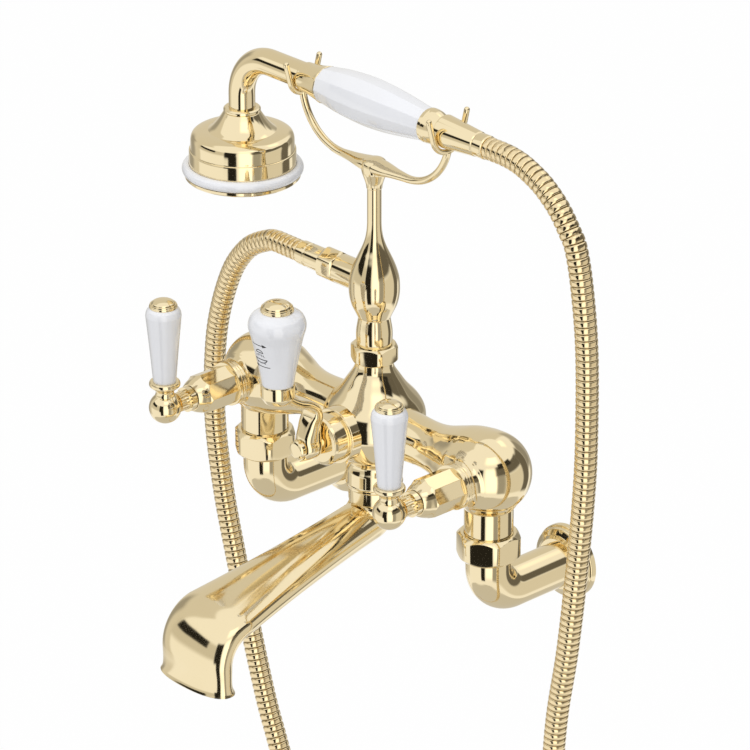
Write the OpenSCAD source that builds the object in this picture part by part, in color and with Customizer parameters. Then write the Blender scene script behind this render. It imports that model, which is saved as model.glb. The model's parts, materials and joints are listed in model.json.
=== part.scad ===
// Wall-mounted bath and shower mixer with porcelain levers, a diverter lever,
// a fixed pillar with a cradle, a telephone handset and a metal hose.
// Millimetres. The origin lies midway between the two wall inlets, on the wall
// face: +X runs to the right, -Y out from the wall and +Z up.

/* [Setting out] */
// Distance between the two wall inlets
inlet_centres = 180; // [170:1:200]
// Distance of the body axis from the wall
body_projection = 62; // [58:1:75]
// Height of the body axis above the inlets
body_height = 73; // [71:1:90]

/* [Body casting] */
// Diameter of the ball at each end of the body
ball_d = 46; // [44:0.5:48]
// Least diameter of the arms between bell and balls
arm_d = 26.6; // [24:0.2:30]
// Greatest diameter of the bell in the middle
bell_d = 56.6; // [53:0.2:60]
// Height of the bell's threaded neck above the body axis
bell_height = 41.5; // [40:0.5:46]
// Diameter of the thread on top of the bell
bell_thread_d = 21.2; // [20:0.2:22]
// Diameter of the boss that takes the spout
spout_boss_d = 31; // [29:0.5:34]
// Depth of the spout boss face below the body axis
spout_boss_depth = 38.5; // [37:0.5:44]
// Diameter of the tail under each ball
tail_d = 26.8; // [26.4:0.2:28]
// Length of the tail below the body axis
tail_length = 42; // [41:0.5:46]
// Diameter of the waterways in the casting
waterway_d = 12; // [10:0.5:13]

/* [Unions and wall flanges] */
// Union nut size across flats
union_nut_size = 32; // [31.6:0.2:36]
// Union nut height
union_nut_height = 15; // [14.5:0.5:18]
// Length of the tail that shows above the union nut
union_nut_drop = 35; // [34:0.5:37]
// Thickness of the lip of a union nut
union_lip = 4; // [3:0.5:5]
// Thickness of a union washer
union_washer_t = 2; // [1:0.25:2.5]
// Outside diameter of the elbow pipe
pipe_d = 24.8; // [24:0.2:25.4]
// Wall of the elbow pipe
pipe_wall = 3.5; // [2.5:0.25:4]
// Bend radius of the elbow, to the pipe's centre line
elbow_radius = 17; // [15:0.5:18]
// Diameter of the thread inside each wall inlet
inlet_thread_d = 18.6; // [18:0.1:20]
// Depth of the thread inside each wall inlet
inlet_thread_depth = 14; // [10:0.5:18]
// Diameter of a wall flange
flange_d = 42; // [40:0.5:50]
// Depth of a wall flange
flange_depth = 9.5; // [8:0.5:12]
// Thickness of the gasket let into a wall flange
gasket_t = 1.2; // [1:0.1:2]

/* [Valves] */
// Distance from the ball centre to the face of the valve neck
valve_reach = 26; // [25:0.5:27]
// Diameter of the valve neck behind its rim
valve_neck_d = 24; // [23.2:0.2:24.4]
// Diameter of the rim on the valve neck and of the bonnet's foot
valve_rim_d = 24.8; // [24.6:0.2:27]
// Diameter of the bore that takes the headwork
valve_bore_d = 18; // [17:0.2:19]
// Distance of the valve seat behind the ball centre
seat_setback = 7; // [6:0.25:8]
// Diameter of the hole in the valve seat
seat_hole_d = 10; // [8:0.5:11]
// Thickness of the seat seal
seat_seal_t = 2; // [1.5:0.25:2.5]
// Diameter of the ceramic discs
disc_d = 13; // [12:0.2:13.4]
// Thickness of a ceramic disc
disc_t = 2.5; // [2:0.25:3]
// Bonnet size across its flats
bonnet_size = 21.2; // [20.4:0.2:22]
// Number of flats round the bonnet
bonnet_flats = 8; // [6:2:8]
// Length of the bonnet
bonnet_length = 29; // [27.5:0.5:29.5]
// Length of the bonnet's rounded nose
bonnet_nose = 7.6; // [7:0.2:8.4]
// Spindle diameter
spindle_d = 8; // [7:0.2:9]
// Diameter of the ribbed sleeve on the spindle
sleeve_d = 11; // [10.4:0.2:12]
// Number of ribs round the sleeve
sleeve_ribs = 18; // [12:1:24]

/* [Lever handles] */
// Distance of the lever axis in front of the body axis
lever_reach = 73; // [72:0.5:78]
// Diameter of the ball at the foot of a lever
lever_ball_d = 18; // [17:0.2:20]
// Diameter of the lever's neck
lever_neck_d = 10.9; // [10:0.1:12]
// Diameter of the lever's collar
lever_collar_d = 16.9; // [16:0.1:18]
// Height of the porcelain's seat above the ball centre
lever_seat_height = 15.3; // [14:0.1:17]
// Length of the porcelain grip
lever_grip_length = 44.7; // [38:0.1:55]
// Diameter at the foot of the porcelain grip
lever_foot_d = 12.8; // [12:0.1:14]
// Greatest diameter of the porcelain grip
lever_grip_d = 19.7; // [18:0.1:22]
// Diameter of the cap on a lever
lever_cap_d = 15.6; // [14:0.1:17]
// Height of the cap on a lever
lever_cap_height = 6; // [4.5:0.1:8]
// Diameter of the stud that holds a grip and its cap
stud_d = 5; // [4:0.2:6]

/* [Diverter] */
// Diameter of the diverter housing on the casting
diverter_boss_d = 31; // [30:0.2:33]
// Distance of the housing face in front of the body axis
diverter_boss_reach = 31; // [30:0.5:34]
// Diameter of the diverter drum
drum_d = 20.8; // [19:0.2:22]
// Length of the diverter drum
drum_length = 18; // [15:0.5:20]
// Diameter of the diverter bonnet
diverter_bonnet_d = 28; // [27:0.2:30]
// Length of the diverter bonnet
diverter_bonnet_length = 10.5; // [9:0.5:12]
// Thickness of the crank's hub
crank_hub_t = 13.5; // [11:0.5:15]
// Width of the crank
crank_w = 13; // [12:0.5:15]
// Thickness of the crank's strip
crank_t = 5; // [4:0.25:6]
// Distance of the diverter knob in front of the crank's back face
knob_reach = 28.5; // [26:0.5:33]
// Height of the knob's seat above the body axis
knob_seat_height = 43; // [40:0.5:50]
// Diameter of the collar under the knob
knob_collar_d = 18.6; // [18:0.1:20]
// Length of the porcelain knob
knob_length = 43; // [38:0.5:50]
// Diameter at the foot of the porcelain knob
knob_foot_d = 17.4; // [16:0.1:17.8]
// Greatest diameter of the porcelain knob
knob_d = 31.3; // [28:0.1:34]
// Diameter of the knob's cap
knob_cap_d = 18; // [16:0.1:20]
// Height of the knob's cap
knob_cap_height = 6.5; // [5:0.1:8]
// Diameter of the crank screw's head
crank_screw_d = 10.8; // [10:0.2:12]
// Height of the crank screw's head
crank_screw_h = 3.5; // [3:0.25:6]

/* [Pillar and cradle] */
// Pillar nut size across flats
pillar_nut_size = 23.9; // [23.4:0.1:27]
// Pillar nut height
pillar_nut_height = 10; // [9.5:0.25:12]
// Thickness of the pillar washer
pillar_washer_t = 1.5; // [1:0.25:2]
// Diameter of the pillar above its nut
pillar_foot_d = 19.2; // [18:0.1:19.6]
// Diameter of the pillar's waist
pillar_waist_d = 17.8; // [17:0.1:18.6]
// Diameter of the pillar's bulb
pillar_bulb_d = 27.8; // [26:0.1:29]
// Height from the waist to the middle of the bulb
pillar_waist_rise = 17.5; // [16:0.5:18.5]
// Height from the middle of the bulb to the slender neck
pillar_taper = 38; // [34:0.5:40]
// Diameter of the pillar's slender neck
pillar_neck_d = 7.8; // [7:0.1:9]
// Height of the hose outlet above the body axis
outlet_height = 81.5; // [80:0.5:84]
// Reach of the hose outlet from the pillar's axis
outlet_reach = 33; // [31:0.5:36]
// Diameter of the boss of the hose outlet
outlet_boss_d = 16.8; // [16:0.2:18]
// Diameter of the thread of the hose outlet
outlet_thread_d = 14.8; // [14:0.2:15.4]
// Hose nut size across flats
hose_nut_size = 16.8; // [16.6:0.2:20]
// Hose nut length
hose_nut_length = 12; // [11:0.5:14]
// Height of the cradle's arms above the body axis
cradle_height = 149.6; // [147:0.2:152]
// Distance between the two forks
fork_centres = 112.8; // [108:0.4:116]
// Diameter of the cradle's rod
cradle_rod_d = 4; // [3.6:0.1:4.6]
// Diameter of the forks' rod
fork_rod_d = 3.2; // [2.8:0.1:3.5]
// Bend radius of the cradle's arms
cradle_bend = 32.2; // [29:0.2:36]
// Height of the fork tips above the handset's axis
fork_tip_height = 9; // [8:0.5:14]

/* [Handset] */
// Height of the handset's axis above the body axis
handset_height = 185; // [184:0.5:190]
// Diameter of the handset's bent tube
handset_tube_d = 14.7; // [14:0.1:15]
// Bend radius of the handset's tube
handset_bend = 24; // [20:0.5:26]
// Distance of the rose from the pillar's axis
rose_reach = 106.3; // [100:0.5:112]
// Diameter of the rose's lower edge
rose_d = 59.6; // [57:0.2:64]
// Height of the rose from its face to the top of its collar
rose_height = 41; // [39:0.5:45]
// Drop of the rose's face below the handset's axis
rose_drop = 73; // [71:0.5:78]
// Outside diameter of the white ring round the rose
rose_ring_d = 67.2; // [66:0.2:71]
// Diameter of the spray plate
spray_plate_d = 64; // [63:0.2:66]
// Thickness of the spray plate
spray_plate_t = 2.2; // [1.8:0.1:3]
// Rings of spray holes
spray_rings = 4; // [2:1:4]
// Diameter of a spray hole
spray_hole_d = 1.6; // [1:0.1:2]
// Length of the porcelain grip of the handset
grip_length = 79; // [74:0.5:84]
// Diameter of the grip at its middle
grip_d = 27; // [24:0.2:30]
// Diameter of the grip at its ends
grip_end_d = 17.6; // [17:0.1:19]
// Diameter of the water tube through the grip
grip_tube_d = 9; // [8:0.2:10]
// Length of the collar in front of the grip
front_collar_length = 17.1; // [14:0.1:19]
// Length of the collar behind the grip
rear_collar_length = 11.5; // [10:0.5:13]
// Length of the conical hose nut
cone_length = 26.5; // [24:0.5:30]
// Diameter at the wide end of the conical hose nut
cone_d = 18; // [17.6:0.1:19]
// Diameter at the narrow end of the conical hose nut
cone_end_d = 13.6; // [13.2:0.1:14.4]

/* [Spout] */
// Forward reach of the spout's mouth from the body axis
spout_reach = 130; // [115:1:145]
// Fall of the spout from root to bend, in degrees
spout_fall = 11; // [8:0.5:14]
// Radius of the spout's bend at the nose
nose_radius = 20; // [17:0.5:24]
// Straight length of the nose below the bend
nose_length = 15; // [12:0.5:20]
// Diameter of the spout's collar and root
spout_collar_d = 28.8; // [27:0.2:30]
// Height of the spout's collar
spout_collar_height = 8; // [6:0.5:9]
// Greatest width of the spout
spout_w = 51; // [46:0.5:56]
// Height of the spout's section before the nose
spout_h = 19; // [17:0.5:21]
// Depth of the mouth from front to back
mouth_depth = 18; // [16:0.5:20]
// Wall of the spout
spout_wall = 2; // [1.5:0.1:2.5]
// Diameter of the spout's spigot
spigot_d = 19; // [18:0.2:20]
// Length of the spout's spigot
spigot_length = 11; // [9:0.5:12]
// Thickness of the spout's sealing ring
spout_seal_d = 2.6; // [2:0.1:3]

/* [Hose] */
// Outside diameter of the hose
hose_d = 12.2; // [11:0.1:12.8]
// Bore of the hose
hose_bore_d = 8; // [7:0.1:9]
// Bore of the collar's tail and the upper ferrule
hose_way_d = 6; // [5:0.2:6.4]
// Length of the lower ferrule past the lip of its nut
lower_ferrule_length = 21.9; // [20:0.1:24]
// Length of the upper ferrule past the conical nut
upper_ferrule_length = 7; // [6:0.5:9]
// Depth of the groove between two ribs
hose_groove = 0.6; // [0.3:0.1:0.9]
// Number of ribs on the hose
hose_ribs = 200; // [60:10:200]

/* [Fits] */
// Radial clearance of a close fit
fit = 0.05; // [0.03:0.01:0.1]
// Free gap between parts that pass each other
gap = 0.3; // [0.2:0.05:0.5]
// Face gap between two parts that turn against each other
face_gap = 0.1; // [0.05:0.05:0.2]

/* [Hidden] */
$fn = 64;
gold = "#d8bb7c";
porcelain = "#f4f4f6";
rubber = "#2b2b2d";
ceramic = "#e9e2d2";
steel = "#b9bcc0";
fibre = "#6b6256";
half = inlet_centres / 2;
// Directions in which a corner of a hexagon nut points
nut_turn = -28;
left_nut_turn = -32;
hose_nut_turn = -56;
// Radius of a nut's eased corners as a share of its size
nut_ease = 0.16;

// Smooth curve through the points p, with n steps to each span
function smooth(p, n = 4) = [
    for (i = [0 : len(p) - 2], k = [0 : n - 1])
        let (a = p[max(i - 1, 0)], b = p[i], c = p[i + 1], d = p[min(i + 2, len(p) - 1)], t = k / n)
            0.5 * (2 * b + (c - a) * t + (2 * a - 5 * b + 4 * c - d) * t * t
                + (3 * b - a - 3 * c + d) * t * t * t),
    p[len(p) - 1]
];
// Points of an arc about the centre c
function arc(c, r, from, to, n = 8) =
    [for (i = [0 : n]) let (a = from + (to - from) * i / n) c + r * [cos(a), sin(a)]];
// Unit normal of the path p at its point i
function normal_at(p, i) =
    let (d = p[min(i + 1, len(p) - 1)] - p[max(i - 1, 0)]) [-d[1], d[0]] / norm(d);
// Outline of a strip of thickness t along the path p
function strip_outline(p, t) = concat(
    [for (i = [0 : len(p) - 1]) p[i] + normal_at(p, i) * t / 2],
    [for (i = [len(p) - 1 : -1 : 0]) p[i] - normal_at(p, i) * t / 2]);

module at_body() translate([0, -body_projection, body_height]) children();
module at_valve(side) translate([side * half, -body_projection, body_height]) children();
module at_lever(side) translate([side * half, -body_projection - lever_reach, body_height]) children();
module at_handset() translate([0, -body_projection, body_height + handset_height]) children();
// Turns what is built along +Z to point out from the wall
module forward() rotate([90, 0, 0]) children();
// Turns what is built along +Z to point along +X or -X
module sideways(side) rotate([0, side * 90, 0]) children();
// Solid of revolution about Z of the outline p, given as radius and height
module revolve(p) rotate_extrude() polygon(p);
module ring(r_out, r_in, h) difference() {
    cylinder(r = r_out, h = h);
    translate([0, 0, -1]) cylinder(r = r_in, h = h + 2);
}
// Hexagon nut with eased corners and chamfered ends, without its bore
module hexagon(size, h, chamfer, turn) intersection() {
    rotate(turn) linear_extrude(height = h) polygon([for (k = [0 : 5])
        each arc((size / 2 - size * nut_ease) / cos(30) * [cos(60 * k), sin(60 * k)], size * nut_ease,
            60 * k - 30, 60 * k + 30, 4)]);
    revolve([[0, 0], [size / 2 - chamfer * 0.4, 0], [size / cos(30) / 2, chamfer * 1.5],
        [size / cos(30) / 2, h - chamfer * 1.5], [size / 2 - chamfer * 0.4, h], [0, h]]);
}
// Quarter bend of a rod or a bore, from the -Y side of its centre to the -Z side
module quarter_bend(radius, r) rotate([90, 0, 90]) rotate(180)
    rotate_extrude(angle = 90) translate([radius, 0]) circle(r = r);

// Body casting
tail_r = tail_d / 2;
ball_r = ball_d / 2;
rim_t = 3.5;
neck_z = bell_height - 8;
seat_wall = 2;
rear_chamber = 7;
seat_t = -seat_setback;
chamber_t = seat_t - seat_wall - rear_chamber;
bell_grow = (bell_d - bell_thread_d) / 2;
boss_r = spout_boss_d / 2;
// Share of the swell from neck to bell, and height above the axis as a share of the neck's height
bell_shape = [[0, 1], [0.06, 0.92], [0.22, 0.79], [0.44, 0.62], [0.77, 0.42], [0.95, 0.25], [1, 0.08],
    [0.97, -0.14]];
bell_foot = [[boss_r * 0.92, -spout_boss_depth * 0.6], [boss_r, -spout_boss_depth * 0.74]];
bell_curve = smooth(concat(
    [for (s = bell_shape) [bell_thread_d / 2 + bell_grow * s[0], neck_z * s[1]]],
    [[bell_d / 2 * 0.78, -spout_boss_depth * 0.42]], bell_foot), 3);
// Place along an arm as a share of the way to the ball, and share of the swell from arm to ball
arm_shape = [[0.2, 0.16], [0.36, 0.03], [0.5, 0], [0.61, 0.15], [0.72, 0.48], [0.83, 0.81], [0.93, 0.97]];
arm_curve = smooth([for (s = arm_shape) [half * s[0], arm_d / 2 + (ball_r - arm_d / 2) * s[1]]], 3);
end_arc = arc([half, 0], ball_r, 90, 0, 10);
arm_half = concat(arm_curve, end_arc);

module bell() revolve(concat([[0, bell_height], [bell_thread_d / 2, bell_height]], bell_curve,
    [[boss_r, -spout_boss_depth], [0, -spout_boss_depth]]));
module arms() sideways(1) revolve(concat(
    [for (i = [len(arm_half) - 1 : -1 : 0]) [arm_half[i][1], -arm_half[i][0]]],
    [for (p = arm_half) [p[1], p[0]]]));
neck_r = valve_neck_d / 2;
rim_start_t = valve_reach - rim_t;
// The neck swells where it leaves the ball
flare_t = 0.74 * ball_r;
flare_r = 0.655 * ball_r;
module valve_end() {
    translate([0, 0, -tail_length]) cylinder(r = tail_r, h = tail_length);
    forward() {
        cylinder(d = valve_neck_d, h = valve_reach);
        revolve(concat([[0, flare_t]], smooth([[flare_r, flare_t],
            [(flare_r + 2 * neck_r) / 3, flare_t + 2.2], [neck_r + 0.3, rim_start_t - 1.5],
            [neck_r, rim_start_t + 0.1]], 4), [[0, rim_start_t + 0.1]]));
        translate([0, 0, rim_start_t]) cylinder(d = valve_rim_d, h = rim_t);
    }
}
// Sloping waterway from a tail to the chamber behind its valve seat
module inlet_waterway() {
    slope = atan2(seat_setback + seat_wall + rear_chamber / 2, tail_length - 4);
    translate([0, 0, -tail_length]) rotate([-slope, 0, 0])
        translate([0, 0, -6]) cylinder(d = waterway_d, h = norm([tail_length, rear_chamber]) + 6);
    forward() {
        translate([0, 0, chamber_t]) cylinder(d = waterway_d + 2, h = rear_chamber);
        translate([0, 0, chamber_t]) cylinder(d = seat_hole_d, h = valve_reach);
        translate([0, 0, seat_t]) cylinder(d = valve_bore_d, h = valve_reach + seat_setback + 1);
    }
}
module body_casting() color(gold) at_body() difference() {
    union() {
        bell();
        arms();
        for (side = [-1, 1]) translate([side * half, 0, 0]) valve_end();
        forward() cylinder(d = diverter_boss_d, h = diverter_boss_reach);
    }
    for (side = [-1, 1]) translate([side * half, 0, 0]) inlet_waterway();
    translate([-half, 0, 0]) sideways(1) cylinder(d = waterway_d, h = inlet_centres);
    translate([0, 0, -spout_boss_depth - 1])
        cylinder(d = waterway_d + 2, h = spout_boss_depth + bell_height + 2);
    translate([0, 0, -spout_boss_depth - 1]) cylinder(d = spigot_d + 2 * fit, h = spigot_length + 1.5);
    forward() translate([0, 0, drum_start]) cylinder(d = drum_d + 2 * fit, h = diverter_boss_reach);
}

// Unions, elbows and flanges
washer_z = body_height - tail_length;
elbow_top = washer_z - union_washer_t;
nut_top = body_height - union_nut_drop;
nut_bottom = nut_top - union_nut_height;
lip_top = nut_bottom + union_lip;
pipe_r = pipe_d / 2;
pipe_bore_r = pipe_r - pipe_wall;
gasket_in = pipe_r + 2.5;
gasket_out = flange_d / 2 - 2.2;

module union_nut(side) color(gold) translate([side * half, -body_projection, nut_bottom]) difference() {
    hexagon(union_nut_size, union_nut_height, 2.2, side < 0 ? left_nut_turn : nut_turn);
    translate([0, 0, -1]) cylinder(r = pipe_r + fit, h = union_nut_height + 2);
    translate([0, 0, union_lip]) cylinder(r = tail_r + fit, h = union_nut_height);
}
module left_union_nut() union_nut(-1);
module right_union_nut() union_nut(1);
module union_washers() color(fibre) for (side = [-1, 1])
    translate([side * half, -body_projection, elbow_top]) ring(tail_r - 0.4, pipe_bore_r, union_washer_t);
// Pipe from the union down, round the bend and back to the wall
module elbow_pipe(r, top, back) {
    translate([0, 0, elbow_radius]) cylinder(r = r, h = top - elbow_radius);
    translate([0, elbow_radius, elbow_radius]) quarter_bend(elbow_radius, r);
    translate([0, elbow_radius, 0]) rotate([-90, 0, 0]) cylinder(r = r, h = back - elbow_radius);
}
module elbow(side) color(gold) translate([side * half, -body_projection, 0]) difference() {
    union() {
        elbow_pipe(pipe_r, elbow_top, body_projection);
        translate([0, 0, lip_top]) cylinder(r = tail_r - 0.1, h = elbow_top - lip_top);
    }
    elbow_pipe(pipe_bore_r, elbow_top + 1, body_projection + 1);
    translate([0, body_projection - inlet_thread_depth, 0]) rotate([-90, 0, 0])
        cylinder(d = inlet_thread_d, h = inlet_thread_depth + 1);
}
module left_elbow() elbow(-1);
module right_elbow() elbow(1);
flange_outline = concat(
    [[pipe_r + fit, 0], [flange_d / 2, 0], [flange_d / 2, flange_depth * 0.4]],
    [[flange_d / 2 - 1.4, flange_depth * 0.5], [flange_d / 2 - 1.4, flange_depth * 0.66]],
    arc([pipe_r + 7, flange_depth * 0.66], 1, 90, 90, 1),
    [[pipe_r + 2.2, flange_depth], [pipe_r + fit, flange_depth]]);
module flange(side) color(gold) translate([side * half, 0, 0]) forward() difference() {
    revolve(flange_outline);
    translate([0, 0, -1]) ring(gasket_out + fit, gasket_in - fit, gasket_t + 1);
}
module left_flange() flange(-1);
module right_flange() flange(1);
module flange_gaskets() color(rubber) for (side = [-1, 1])
    translate([side * half, 0, 0]) forward() ring(gasket_out, gasket_in, gasket_t);

// Valve headworks and bonnets, measured forward from the ball centre
headwork_t = seat_t + seat_seal_t;
headwork_shoulder_t = 8;
disc_gap_t = headwork_t + disc_t;
carrier_t = disc_gap_t + face_gap + disc_t;
carrier_end_t = carrier_t + 9;
headwork_nose_t = valve_reach + 11;
bonnet_t = valve_reach + bonnet_length;
bonnet_foot = 2.5;
bonnet_half = bonnet_size / 2;
bonnet_r = bonnet_half / cos(180 / bonnet_flats);
shoulder_z = bonnet_length - bonnet_nose;
disc_r = disc_d / 2;
sleeve_r = sleeve_d / 2;
sleeve_rim = 3.4;
carrier_r = disc_r - 0.1;
stem_r = spindle_d / 2;
headwork_bore_r = disc_r + 0.1;
headwork_nose_r = stem_r + 3.2;
lever_r = lever_ball_d / 2;
sleeve_end_t = lever_reach - sqrt(lever_r * lever_r - stem_r * stem_r);

module headwork(side) color(gold) at_valve(side) forward() difference() {
    union() {
        translate([0, 0, headwork_t]) cylinder(r = headwork_bore_r + 1, h = valve_reach - headwork_t);
        translate([0, 0, headwork_shoulder_t]) cylinder(d = valve_bore_d - 2 * fit,
            h = valve_reach - headwork_shoulder_t);
        translate([0, 0, valve_reach]) cylinder(r = headwork_nose_r, h = headwork_nose_t - valve_reach);
    }
    translate([0, 0, headwork_t - 1]) cylinder(r = headwork_bore_r, h = carrier_end_t
        + face_gap - headwork_t + 1);
    translate([0, 0, headwork_t]) cylinder(r = stem_r + fit, h = headwork_nose_t - headwork_t + 1);
    translate([-valve_bore_d, -3, carrier_t]) cube([2 * valve_bore_d, 6, 4]);
}
module left_headwork() headwork(-1);
module right_headwork() headwork(1);
module seat_seals() color(rubber) for (side = [-1, 1]) at_valve(side) forward()
    translate([0, 0, seat_t]) ring(valve_bore_d / 2 - 0.4, seat_hole_d / 2, seat_seal_t);
module fixed_discs() color(ceramic) for (side = [-1, 1]) at_valve(side) forward()
    translate([0, 0, headwork_t]) difference() {
        cylinder(r = disc_r, h = disc_t);
        for (x = [-1, 1]) translate([x * disc_r * 0.45, 0, -1]) cylinder(r = disc_r * 0.28, h = disc_t
            + 2);
    }
module bonnet(side) color(gold) at_valve(side) forward() difference() {
    union() {
        translate([0, 0, valve_reach]) cylinder(d = valve_rim_d, h = bonnet_foot);
        translate([0, 0, valve_reach]) intersection() {
            rotate(90) cylinder(r = bonnet_r, h = bonnet_length, $fn = bonnet_flats);
            revolve(concat([[0, 0], [bonnet_r + 0.1, 0]],
                smooth([[bonnet_r + 0.1, shoulder_z], [bonnet_half + 0.1, shoulder_z + 1.1],
                    [bonnet_half - 0.5, shoulder_z + 2.4], [sleeve_r + 3.8, bonnet_length - 3],
                    [sleeve_r + 2.7, bonnet_length - 1], [sleeve_r + 2.2, bonnet_length - 0.3]], 3),
                [[sleeve_r + 1.9, bonnet_length], [0, bonnet_length]]));
        }
    }
    translate([0, 0, valve_reach - 1]) cylinder(r = headwork_nose_r + 0.2,
        h = headwork_nose_t - valve_reach + 2);
    translate([0, 0, valve_reach]) cylinder(r = stem_r + gap, h = bonnet_length + 1);
}
module left_bonnet() bonnet(-1);
module right_bonnet() bonnet(1);
module spindle(side) color(gold) at_valve(side) forward() {
    translate([0, 0, carrier_t]) cylinder(r = carrier_r, h = carrier_end_t - carrier_t);
    translate([0, 0, carrier_t]) cylinder(r = stem_r, h = lever_reach - 0.5 - carrier_t);
    translate([0, 0, bonnet_t + gap]) cylinder(r = sleeve_r + 1.5, h = sleeve_rim);
    translate([0, 0, bonnet_t + gap]) difference() {
        cylinder(r = sleeve_r, h = sleeve_end_t - bonnet_t - gap);
        for (i = [1 : sleeve_ribs]) rotate(i * 360 / sleeve_ribs)
            translate([sleeve_r - 0.5, -0.3, sleeve_rim + 0.6]) cube([1, 0.6, sleeve_end_t - bonnet_t]);
    }
}
module left_spindle() spindle(-1);
module right_spindle() spindle(1);
module moving_disc(side) color(ceramic) at_valve(side) forward()
    translate([0, 0, disc_gap_t + face_gap]) difference() {
        cylinder(r = disc_r, h = disc_t);
        translate([-disc_r * 0.6, disc_r * 0.2, -1]) cube([disc_r * 1.2, disc_r * 0.35, disc_t + 2]);
    }
module left_disc() moving_disc(-1);
module right_disc() moving_disc(1);

// Lever handles, measured up from the ball centre
stud_r = stud_d / 2;
stud_sink = 7.5;
stud_rise = 3;
lever_neck_r = lever_neck_d / 2;
lever_foot_r = lever_foot_d / 2;
lever_grip_r = lever_grip_d / 2;
lever_collar_r = lever_collar_d / 2;
lever_cap_r = lever_cap_d / 2;
lever_top = lever_seat_height + lever_grip_length;
saucer = 0.8;
neck_angle = acos(lever_neck_r / lever_r);
lever_base_outline = concat(
    arc([0, 0], lever_r, -90, neck_angle, 14),
    smooth([[lever_neck_r, lever_r * sin(neck_angle) + 0.8], [lever_neck_r + 0.2, lever_seat_height - 5.2],
        [lever_collar_r - 0.9, lever_seat_height - 2.2], [lever_collar_r, lever_seat_height - 0.6],
        [lever_collar_r - 0.4, lever_seat_height + saucer]], 3),
    [[lever_foot_r + fit, lever_seat_height + saucer], [lever_foot_r + fit, lever_seat_height],
        [0, lever_seat_height]]);
lever_grip_outline = concat([[stud_r + fit, 0], [lever_foot_r, 0]],
    smooth([[lever_foot_r, saucer], [lever_foot_r + (lever_grip_r - lever_foot_r) * 0.48,
        lever_grip_length * 0.45],
        [lever_grip_r - 0.15, lever_grip_length * 0.84], [lever_grip_r, lever_grip_length * 0.91],
        [lever_grip_r - 0.7, lever_grip_length * 0.965], [lever_cap_r, lever_grip_length]], 3),
    [[stud_r + fit, lever_grip_length]]);
// Outline of a domed cap with a stepped rim
function cap_outline(r, h) = concat([[0, 0], [r - 0.3, 0], [r, 0.4], [r, h * 0.22], [r - 0.8, h * 0.3],
    [r - 1.2, h * 0.42]],
    smooth([[r - 1.8, h * 0.46], [r * 0.62, h * 0.82], [r * 0.32, h * 0.97], [0, h]], 3));

module lever_base(side) color(gold) at_lever(side) difference() {
    revolve(lever_base_outline);
    translate([0, 0, lever_seat_height - stud_sink]) cylinder(r = stud_r + fit, h = stud_sink + 1);
    rotate([-90, 0, 0]) translate([0, 0, -0.5]) cylinder(r = stem_r + fit, h = lever_r + 1);
}
module left_lever_base() lever_base(-1);
module right_lever_base() lever_base(1);
module lever_grip(side) color(porcelain) at_lever(side) translate([0, 0, lever_seat_height])
    revolve(lever_grip_outline);
module left_lever_grip() lever_grip(-1);
module right_lever_grip() lever_grip(1);
module lever_cap(side) color(gold) at_lever(side) translate([0, 0, lever_top]) difference() {
    revolve(cap_outline(lever_cap_r, lever_cap_height));
    translate([0, 0, -1]) cylinder(r = stud_r + fit, h = stud_rise + 1);
}
module left_lever_cap() lever_cap(-1);
module right_lever_cap() lever_cap(1);
module lever_stud(side) color(steel) at_lever(side) translate([0, 0, lever_seat_height - stud_sink])
    cylinder(r = stud_r, h = stud_sink + lever_grip_length + stud_rise);
module left_lever_stud() lever_stud(-1);
module right_lever_stud() lever_stud(1);

// Diverter, measured forward from the body axis
drum_start = diverter_boss_reach - 2 - drum_length - 2;
drum_end_t = drum_start + drum_length;
diverter_seal_t = 2;
diverter_face_t = diverter_boss_reach + diverter_bonnet_length;
crank_back_t = diverter_face_t + gap;
crank_face_t = crank_back_t + crank_hub_t;
knob_t = crank_back_t + knob_reach;
knob_collar_h = 9.5;
crank_hub_r = crank_w / 2 + 1;
crank_screw_r = 2;
crank_screw_hold = 8;
knob_top = knob_seat_height + knob_length;
knob_foot_r = knob_foot_d / 2;
knob_r = knob_d / 2;
strip_t = crank_back_t + crank_t / 2;
// Middle of the crank's strip, as forward distance and height
crank_path = smooth([[strip_t, 0], [strip_t, knob_seat_height * 0.36],
    [strip_t + knob_reach * 0.1, knob_seat_height * 0.53], [strip_t + knob_reach * 0.42,
        knob_seat_height * 0.67],
    [knob_t - knob_collar_d * 0.35, knob_seat_height - knob_collar_h + crank_t * 0.4],
    [knob_t, knob_seat_height - knob_collar_h + crank_t * 0.8]], 4);
knob_outline = concat([[stud_r + fit, 0], [knob_foot_r, 0]],
    smooth([[knob_foot_r, saucer], [knob_foot_r + (knob_r - knob_foot_r) * 0.3, knob_length * 0.3],
        [knob_foot_r + (knob_r - knob_foot_r) * 0.72, knob_length * 0.62], [knob_r, knob_length * 0.81],
        [knob_r - 1.6, knob_length * 0.93], [knob_cap_d / 2 + 1.6, knob_length * 0.985],
        [knob_cap_d / 2, knob_length]], 3),
    [[stud_r + fit, knob_length]]);

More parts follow.
